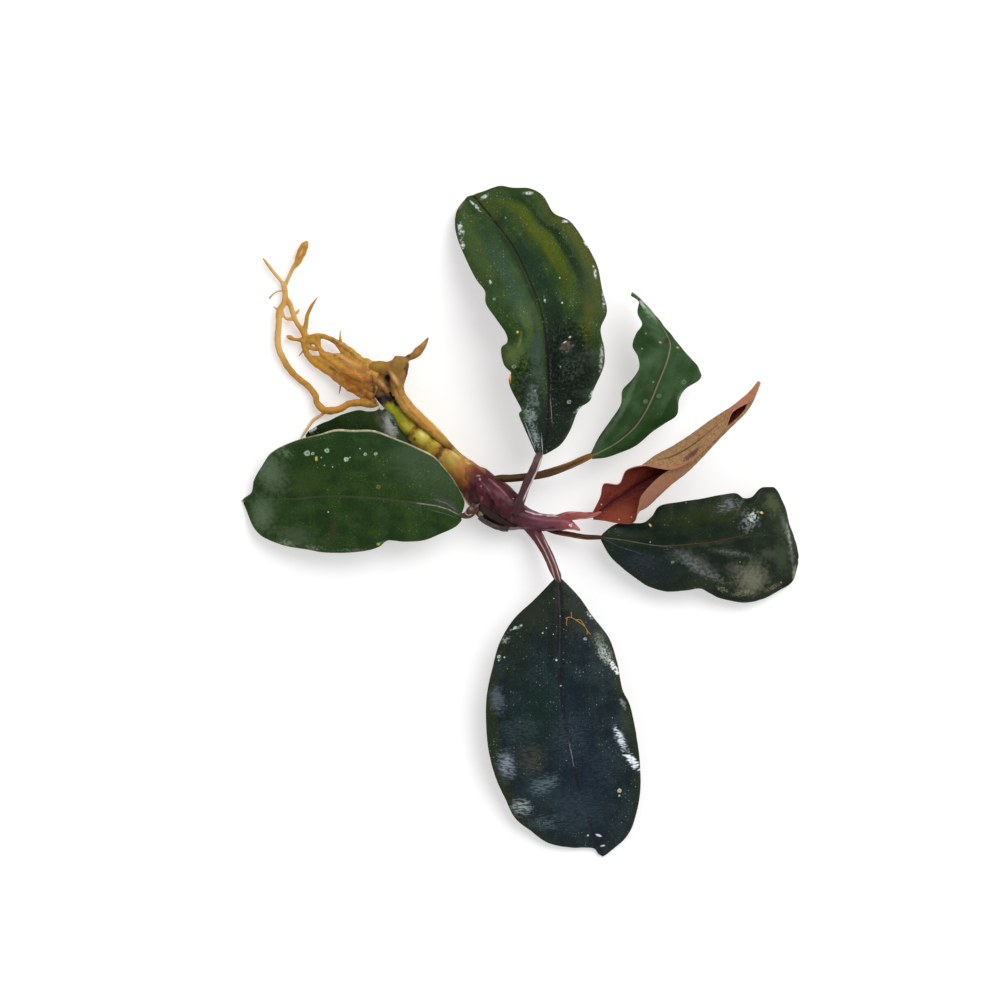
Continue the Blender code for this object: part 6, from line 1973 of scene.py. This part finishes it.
SIDE_ROOT_ROUTE: Rail = (
    (-15, 18, 4.2, 0.8), (-14.4, 16.4, 4.3, 0.92), (-13.1, 14.3, 4.1, 0.98), (-11.3, 12.6, 3.8, 0.95),
    (-9.4, 10.9, 3.5, 0.88), (-7.8, 9.4, 3.3, 0.78), (-6.3, 7.9, 3.1, 0.55), (-4.4, 6.3, 3, 0.4),
    (-2.6, 5, 3, 0.28), (-1, 4.1, 3, 0.2), (0.2, 3.5, 3, 0.14),
)
PALE_ROOT_ROUTE: Rail = (
    (-26.3, 14, 1.3, 0.3), (-27.05, 13.2, 1, 0.28), (-28.3, 12.4, 0.7, 0.26), (-29.6, 10.7, 0.5, 0.24),
    (-30.4, 9.4, 0.4, 0.12),
)
MASS_ROUTES: tuple[Rail, ...] = (
    (
        (-17.6, 20.4, 2.8, 1.3), (-19.4, 20.9, 2.8, 1.15), (-20.9, 21.6, 2.8, 1),
        (-22.4, 22.9, 2.7, 0.95), (-23.6, 23.9, 2.5, 0.8), (-24.6, 24.8, 2.3, 0.5),
        (-25.9, 25.5, 2, 0.42), (-27.4, 25.9, 1.7, 0.42), (-28.7, 25.7, 1.5, 0.45),
        (-29.9, 25.2, 1.3, 0.45),
    ),
    (
        (-18, 19.2, 2.9, 1.6), (-20.4, 20.2, 2.9, 1.5), (-22.2, 21.2, 2.7, 1.3), (-23.6, 22, 2.5, 1),
        (-25.2, 22.4, 2.2, 0.75), (-26.7, 22.9, 1.8, 0.6), (-27.3, 23.7, 1.6, 0.4),
        (-28.4, 23.8, 1.4, 0.35), (-29.4, 24.4, 1.3, 0.45),
    ),
    (
        (-17.8, 17.8, 2.6, 1.5), (-20.2, 18.6, 2.5, 1.5), (-22.4, 19.6, 2.3, 1.3), (-24.4, 20.7, 2, 1.1),
        (-26, 21.6, 1.6, 0.85), (-27.2, 22.1, 1.4, 0.6), (-28.4, 22.3, 1.1, 0.45),
    ),
    (
        (-18.4, 16.2, 2.3, 1.1), (-20.6, 17.1, 2.2, 1.15), (-22.6, 18.2, 2, 1.1), (-24.6, 19.6, 1.6, 1),
        (-26.4, 20.7, 1.3, 0.85), (-28, 21.7, 1.1, 0.7), (-29.2, 22.7, 0.9, 0.5), (-29.8, 24, 1.1, 0.5),
        (-29.9, 25.2, 1.3, 0.5),
    ),
    (
        (-18.8, 18.9, 4.2, 0.6), (-20.6, 19.1, 4.3, 0.55), (-22.6, 19.9, 4, 0.5),
        (-24.4, 21.2, 3.3, 0.45), (-26.2, 22.4, 2.5, 0.35), (-27.4, 23.4, 1.8, 0.3),
    ),
    ((-27.6, 25.7, 1.6, 0.45), (-27.6, 24.6, 1.6, 0.5), (-27.4, 23.7, 1.6, 0.45)),
    ((-29.8, 25.2, 1.3, 0.4), (-28.7, 25, 1.5, 0.45), (-27.7, 24.7, 1.6, 0.5)),
    (
        (-18.2, 15.4, 2.4, 0.8), (-19.2, 14.9, 2.5, 0.68), (-20.5, 15.1, 2.5, 0.6),
        (-22.4, 15, 2.3, 0.58), (-24.2, 14.1, 1.9, 0.6), (-26.4, 13.9, 1.4, 0.62), (-27.7, 15, 1.1, 0.54),
        (-28.1, 16.4, 0.9, 0.52), (-29.2, 17.8, 0.8, 0.5), (-31, 19.2, 0.7, 0.5),
        (-32.6, 21.1, 0.8, 0.55), (-33.8, 23.5, 1, 0.52), (-34.1, 25.5, 1.1, 0.54),
        (-33.9, 28.3, 1.3, 0.5), (-33.9, 29.8, 1.2, 0.46), (-33.1, 31.2, 1, 0.5),
        (-32.9, 32.6, 0.8, 0.46), (-33.1, 34, 0.7, 0.48),
    ),
    (
        (-33, 33.7, 0.7, 0.42), (-33.55, 34.65, 0.75, 0.34), (-34.9, 36.3, 0.9, 0.3),
        (-35.5, 37.1, 0.9, 0.3), (-36.5, 38.4, 0.6, 0.12),
    ),
    (
        (-33, 33.6, 0.7, 0.4), (-32.65, 34.65, 0.75, 0.32), (-31.7, 36.6, 1, 0.34),
        (-30.9, 37.7, 1.2, 0.55), (-30.4, 39, 1.2, 0.74), (-29.8, 40.3, 1, 0.68), (-29.3, 41.1, 0.8, 0.2),
    ),
    (
        (-33, 32, 1, 0.42), (-32.2, 31, 1.05, 0.45), (-31.7, 29.6, 1.3, 0.42), (-31.1, 28.1, 1.4, 0.42),
        (-30.3, 26.9, 1.4, 0.46), (-29.7, 25.9, 1.3, 0.55), (-29.6, 25, 1.2, 0.5),
    ),
    (
        (-29.8, 26.3, 1.4, 0.45), (-29.5, 27.8, 1.5, 0.37), (-29.3, 29.2, 1.8, 0.33),
        (-28.6, 30.7, 2.1, 0.27), (-27.6, 32.1, 2.4, 0.1),
    ),
    (
        (-33.4, 30.2, 1.1, 0.24), (-33.1, 29.1, 1.2, 0.22), (-32.6, 28.6, 1.3, 0.26),
        (-31.5, 28.6, 1.4, 0.3),
    ),
    ((-32.7, 25.9, 0.9, 0.18), (-32.1, 25.6, 1, 0.42), (-31.4, 25.3, 1.1, 0.3), (-30, 25.2, 1.2, 0.4)),
    ((-30.6, 30.2, 1.3, 0.14), (-31, 29.6, 1.4, 0.24), (-31.6, 29.4, 1.3, 0.3)),
)
ROOT_HAIRS: tuple[Rail, ...] = (
    ((-32.9, 33.2, 0.8, 0.14), (-34.4, 32.9, 0.9, 0.1), (-35.5, 31.9, 0.8, 0.13)),
    ((-33.8, 29.6, 1.1, 0.22), (-34.2, 30.1, 1, 0.16), (-34.8, 30.6, 0.9, 0.06)),
    ((-23.9, 24.2, 2.4, 0.4), (-24, 25.4, 2.6, 0.2), (-24, 26.7, 2.7, 0.05)),
    ((-24, 18.2, 1.4, 0.16), (-24.1, 17.2, 1.2, 0.1), (-24.3, 16.5, 1.1, 0.05)),
    ((-29.9, 23.6, 0.9, 0.2), (-30.4, 23, 0.8, 0.12), (-30.7, 22.7, 0.7, 0.06)),
)
AMBER: Colour = (500, 250, 45)
ROOT_FINISH = StemFinish(
    stops=((0, AMBER), (1, AMBER)), streak=(620, 360, 90), streak_strength=0.5, mottle=0.4,
    roughness=0.42, coat=0.05, relief=0.7, glow=0.15,
    marks=paint(
        cloud, (-33.6, 26, 1.8, 8.6, (660, 420, 160), 0.85, -5),
        (-33.6, 36.6, 3.6, 5.6, (680, 450, 210), 0.9),
        trail,
        (((-26.9, 25.4), (-24.6, 24.6), (-22.4, 23.1), (-20.6, 21.7)), 0.35, (200, 95, 30), 0.85, 0.5),
        (((-27.6, 22.6), (-25, 20.8), (-22.4, 18.9), (-19.8, 17.2)), 0.35, (640, 330, 60), 0.8, 0.6),
        (((-26, 21.2), (-23.4, 19.2), (-20.8, 17.3)), 0.3, (190, 70, 20), 0.8, 0.6),
        (((-24.6, 22.6), (-22, 20.8), (-19.6, 19.6)), 0.35, (220, 85, 30), 0.8, 0.6),
        (((-25.4, 23.6), (-23, 22), (-20.4, 20.6)), 0.3, (620, 360, 120), 0.7, 0.6),
        (((-20.4, 21.6), (-19.8, 19.2), (-19.2, 16.2)), 1.1, (270, 115, 40), 0.75, 0.5),
        (((-18.9, 19.8), (-18.7, 17.8), (-18.5, 15.4)), 0.55, (70, 32, 20), 0.9, 0.5),
        (((-22.4, 17.7), (-20.4, 16.3), (-19, 15.6)), 0.35, (260, 90, 22), 0.8, 0.5),
        cloud, (-31.4, 29.4, 2.4, 3.4, (620, 370, 110), 0.8),
        (-22, 18.6, 4.6, 2.6, (360, 130, 22), 0.85, -33), (-21.2, 20.6, 2, 1.2, (420, 210, 60), 0.6, -30),
        (-20.6, 17, 1.8, 0.7, (150, 55, 16), 0.7, -30), (-19.4, 18.6, 1, 1.4, (300, 120, 40), 0.7),
        (-23, 21.4, 2, 0.5, (600, 340, 110), 0.6, -30), (-27.6, 21, 2.2, 0.8, (540, 250, 14), 0.8, -40),
        (-25.6, 25.3, 1.6, 0.4, (230, 130, 40), 0.7, -20),
        (-20.2, 21.8, 1.6, 0.6, (330, 210, 30), 0.7, -25), (-24, 14.4, 4, 1, (600, 270, 40), 0.7, -5),
        (-30.2, 39.4, 0.9, 1.8, (380, 150, 40), 0.7, -25),
        (-30.3, 39.2, 0.3, 0.9, (640, 420, 200), 0.8, -25),
        (-28.3, 31.2, 0.6, 1.2, (440, 220, 100), 0.7, -35),
    ),
)
SIDE_ROOT_FINISH = StemFinish(
    stops=(
        (0, (440, 220, 60)), (0.2, (500, 280, 70)), (0.4, (520, 250, 50)), (0.55, (440, 280, 60)),
        (0.63, (180, 70, 22)), (0.68, (480, 300, 80)), (0.85, (420, 220, 60)), (1, (260, 120, 40)),
    ),
    streak=(220, 100, 30), streak_strength=0.45, streaks_around=4, streak_length=0.3, mottle=0.15,
    roughness=0.42, coat=0.05, glow=0.1,
    marks=paint(
        trail,
        # A painted highlight along the root's right edge.
        (((-13.4, 16.8), (-11.6, 14.5), (-8.6, 11.3), (-5.6, 8.3)), 0.32, (700, 480, 190), 0.8, 0.4),
        (((-14.6, 16.2), (-12.8, 13.9), (-10.4, 11.4)), 0.25, (340, 140, 30), 0.7, 0.4),
    ),
)
PALE_ROOT_FINISH = StemFinish(
    stops=((0, (640, 360, 110)), (1, (760, 560, 320))), streak=(800, 640, 420), mottle=0.1,
    roughness=0.45, coat=0, glow=0.1,
)
MASS_NODES = (
    "root_long", "root_tip_left", "root_tip_right", "root_inner", "root_twig",
    "root_upper_strand", "root_middle_strand", "root_top_strand", "root_lower_strand",
)


@dataclass(frozen=True)
class RootSystem:
    """The roots: a fused mass of strands with their links and hairs, and two single roots."""

    voxel: float = 0.12
    sides: int = 16

    def strand(self, name: str, route: Rail, seed: float) -> Piece:
        """Model one lumpy strand."""
        return Tube(route, self.sides, 0.25, None, roughen=0.2, seed=seed, lowest=0.05).build(name)

    def build(self, shelf: GroupShelf) -> None:
        """Model and dress the whole root system."""
        side = Tube(SIDE_ROOT_ROUTE, 28, 0.22, None, roughen=0.1, seed=70.0).build("root_side")
        side.data.materials.append(SIDE_ROOT_FINISH.material("root_side", shelf))
        place_piece(side, "root", ["root_side"])
        pale = self.strand("rootlet_pale", PALE_ROOT_ROUTE, 71.0)
        pale.data.materials.append(PALE_ROOT_FINISH.material("rootlet_pale", shelf))
        place_piece(pale, "root", ["rootlet_pale"])
        strands = [
            self.strand("strand", route, 80.0 + number) for number, route in enumerate(MASS_ROUTES)
        ]
        mass = join("roots", strands)
        apply_modifier(mass, "REMESH", mode="VOXEL", voxel_size=self.voxel * MILLIMETRE)
        apply_modifier(mass, "SMOOTH", factor=0.5, iterations=3)
        hairs = [
            Tube(route, 8, 0.25, None, roughen=0.2, seed=99.0).build("hair") for route in ROOT_HAIRS
        ]
        mass = join("roots", [mass, *hairs])
        smooth_shade(mass, 80.0)
        mass.data.materials.append(ROOT_FINISH.material("roots", shelf))
        place_piece(mass, "root", MASS_NODES)


THREAD_FINISH = StemFinish(
    stops=((0, (560, 260, 60)), (1, (480, 200, 50))), streak=(700, 340, 100), mottle=0.3, roughness=0.55,
    coat=0,
)
THREADS: tuple[tuple[tuple[float, float], ...], ...] = (
    (
        (12.06, -19.36), (12.86, -19.18), (13.66, -19.62), (14.48, -20.16), (15.18, -20.78),
        (15.63, -21.5), (16.08, -21.95),
    ),
    ((12.96, -18.37), (12.99, -18.8), (12.99, -19.18)), ((12.32, -19.44), (12.2, -19.9), (12.24, -20.51)),
    ((13.66, -19.62), (14.38, -19.62), (14.83, -20.16), (15.18, -20.69)),
    ((15.46, -21.23), (15.52, -21.6), (15.46, -21.95)),
)


@dataclass(frozen=True)
class Thread:
    """A tangled thread of algae that lies on a blade."""

    blade: Blade
    radius: float = 0.058
    sink: float = 0.02

    def build(self, shelf: GroupShelf) -> None:
        """Model and dress the thread on the blade's surface."""
        surface = self.blade.surface().reshape(-1, 3)
        strands = []
        for line in THREADS:
            route = [(*place, self.height(surface, place), self.radius) for place in line]
            strands.append(Tube(route, 8, 0.1, None, roughen=0.3, seed=90.0).build("strand"))
        thread = join("thread", strands)
        thread.data.materials.append(THREAD_FINISH.material("thread", shelf))
        place_piece(thread, "old_wood", [])

    def height(self, surface: np.ndarray, place: tuple[float, float]) -> float:
        """Return the height at which the thread rests on the surface."""
        away = np.hypot(surface[:, 0] - place[0], surface[:, 1] - place[1])
        top = float(surface[np.argmin(away), 2])
        return top + self.blade.thickness / 2 + self.radius - self.sink


# Stage


@dataclass(frozen=True)
class Studio:
    """A plain pale floor, soft light from the upper right and a camera that looks straight down."""

    camera_height: float = 800.0
    look_at: tuple[float, float] = (1.6, -0.48)
    view_width: float = 160.0
    focus_plane: float = 4.0
    sensor: float = 36.0
    floor_half_width: float = 600.0
    key_power: float = 4.3
    sky: float = 0.98
    overhead: float = 0.1
    floor_tone: float = 0.70
    floor_glow: float = 0.38

    def build(self) -> None:
        """Set up the floor, the lights and the camera."""
        self.make_floor()
        self.make_light("key", (330.0, 360.0, 620.0), 560.0, self.key_power)
        self.make_sky()
        bpy.context.scene.view_settings.view_transform = "Standard"
        self.make_camera()

    def make_sky(self) -> None:
        """Light the plant from all round, but hardly from straight above, where glossy leaves mirror."""
        world = bpy.data.worlds.new("sky")
        world.use_nodes = True
        bench = Bench(world.node_tree)
        towards = bench.add("ShaderNodeTexCoord", {}).outputs["Generated"]
        height = bench.add("ShaderNodeSeparateXYZ", {"Vector": towards}).outputs[2]
        inputs = {
            "Value": height, "From Min": 0.92, "From Max": 0.65, "To Min": self.overhead,
            "To Max": self.sky,
        }
        strength = bench.add("ShaderNodeMapRange", inputs, interpolation_type="SMOOTHSTEP")
        background = world.node_tree.nodes["Background"]
        background.inputs["Color"].default_value = (1.0, 1.0, 1.0, 1.0)
        bench.feed(background.inputs["Strength"], strength.outputs[0])
        bpy.context.scene.world = world

    def make_floor(self) -> None:
        """Add the floor the plant lies on."""
        deselect_all()
        bpy.ops.mesh.primitive_plane_add(size=2.0 * self.floor_half_width * MILLIMETRE)
        floor = bpy.context.active_object
        floor.name = "floor"
        material = bpy.data.materials.new("floor")
        material.use_nodes = True
        shader = material.node_tree.nodes["Principled BSDF"]
        shader.inputs["Base Color"].default_value = (*(self.floor_tone,) * 3, 1.0)
        shader.inputs["Emission Color"].default_value = (1.0, 1.0, 1.0, 1.0)
        shader.inputs["Emission Strength"].default_value = self.floor_glow
        shader.inputs["Roughness"].default_value = 0.9
        shader.inputs["Specular IOR Level"].default_value = 0.1
        floor.data.materials.append(material)

    @staticmethod
    def make_light(name: str, place: Point, size: float, power: float) -> None:
        """Add a square soft light that points at the plant.

        Args:
            name: The light's name.
            place: Where it hangs, in mm.
            size: The length of its side, in mm.
            power: Its power in watts.
        """
        data = bpy.data.lights.new(name, "AREA")
        data.size = size * MILLIMETRE
        data.energy = power
        light = bpy.data.objects.new(name, data)
        light.location = Vector(place) * MILLIMETRE
        light.rotation_mode = "QUATERNION"
        light.rotation_quaternion = (-light.location).to_track_quat("-Z", "Y")
        bpy.context.scene.collection.objects.link(light)

    def make_camera(self) -> None:
        """Add the camera at the photograph's viewing angle."""
        data = bpy.data.cameras.new("camera")
        data.sensor_width = self.sensor
        data.lens = self.sensor * (self.camera_height - self.focus_plane) / self.view_width
        data.clip_start = 10.0 * MILLIMETRE
        data.clip_end = 5000.0 * MILLIMETRE
        camera = bpy.data.objects.new("camera", data)
        camera.location = Vector((*self.look_at, self.camera_height)) * MILLIMETRE
        bpy.context.scene.collection.objects.link(camera)
        bpy.context.scene.camera = camera


def main() -> None:
    """Build the stage, then every sub-assembly in order."""
    logging.basicConfig(level=logging.INFO)
    Studio().build()
    shelf = GroupShelf()
    Rhizome().build(shelf)
    Sheath().build(shelf)
    OldRemains().build(shelf)
    StalkSet().build(shelf)
    for blade in BLADES:
        blade.build(shelf)
    Thread(BLADES[1]).build(shelf)
    RootSystem().build(shelf)


if __name__ == "__main__":
    main()
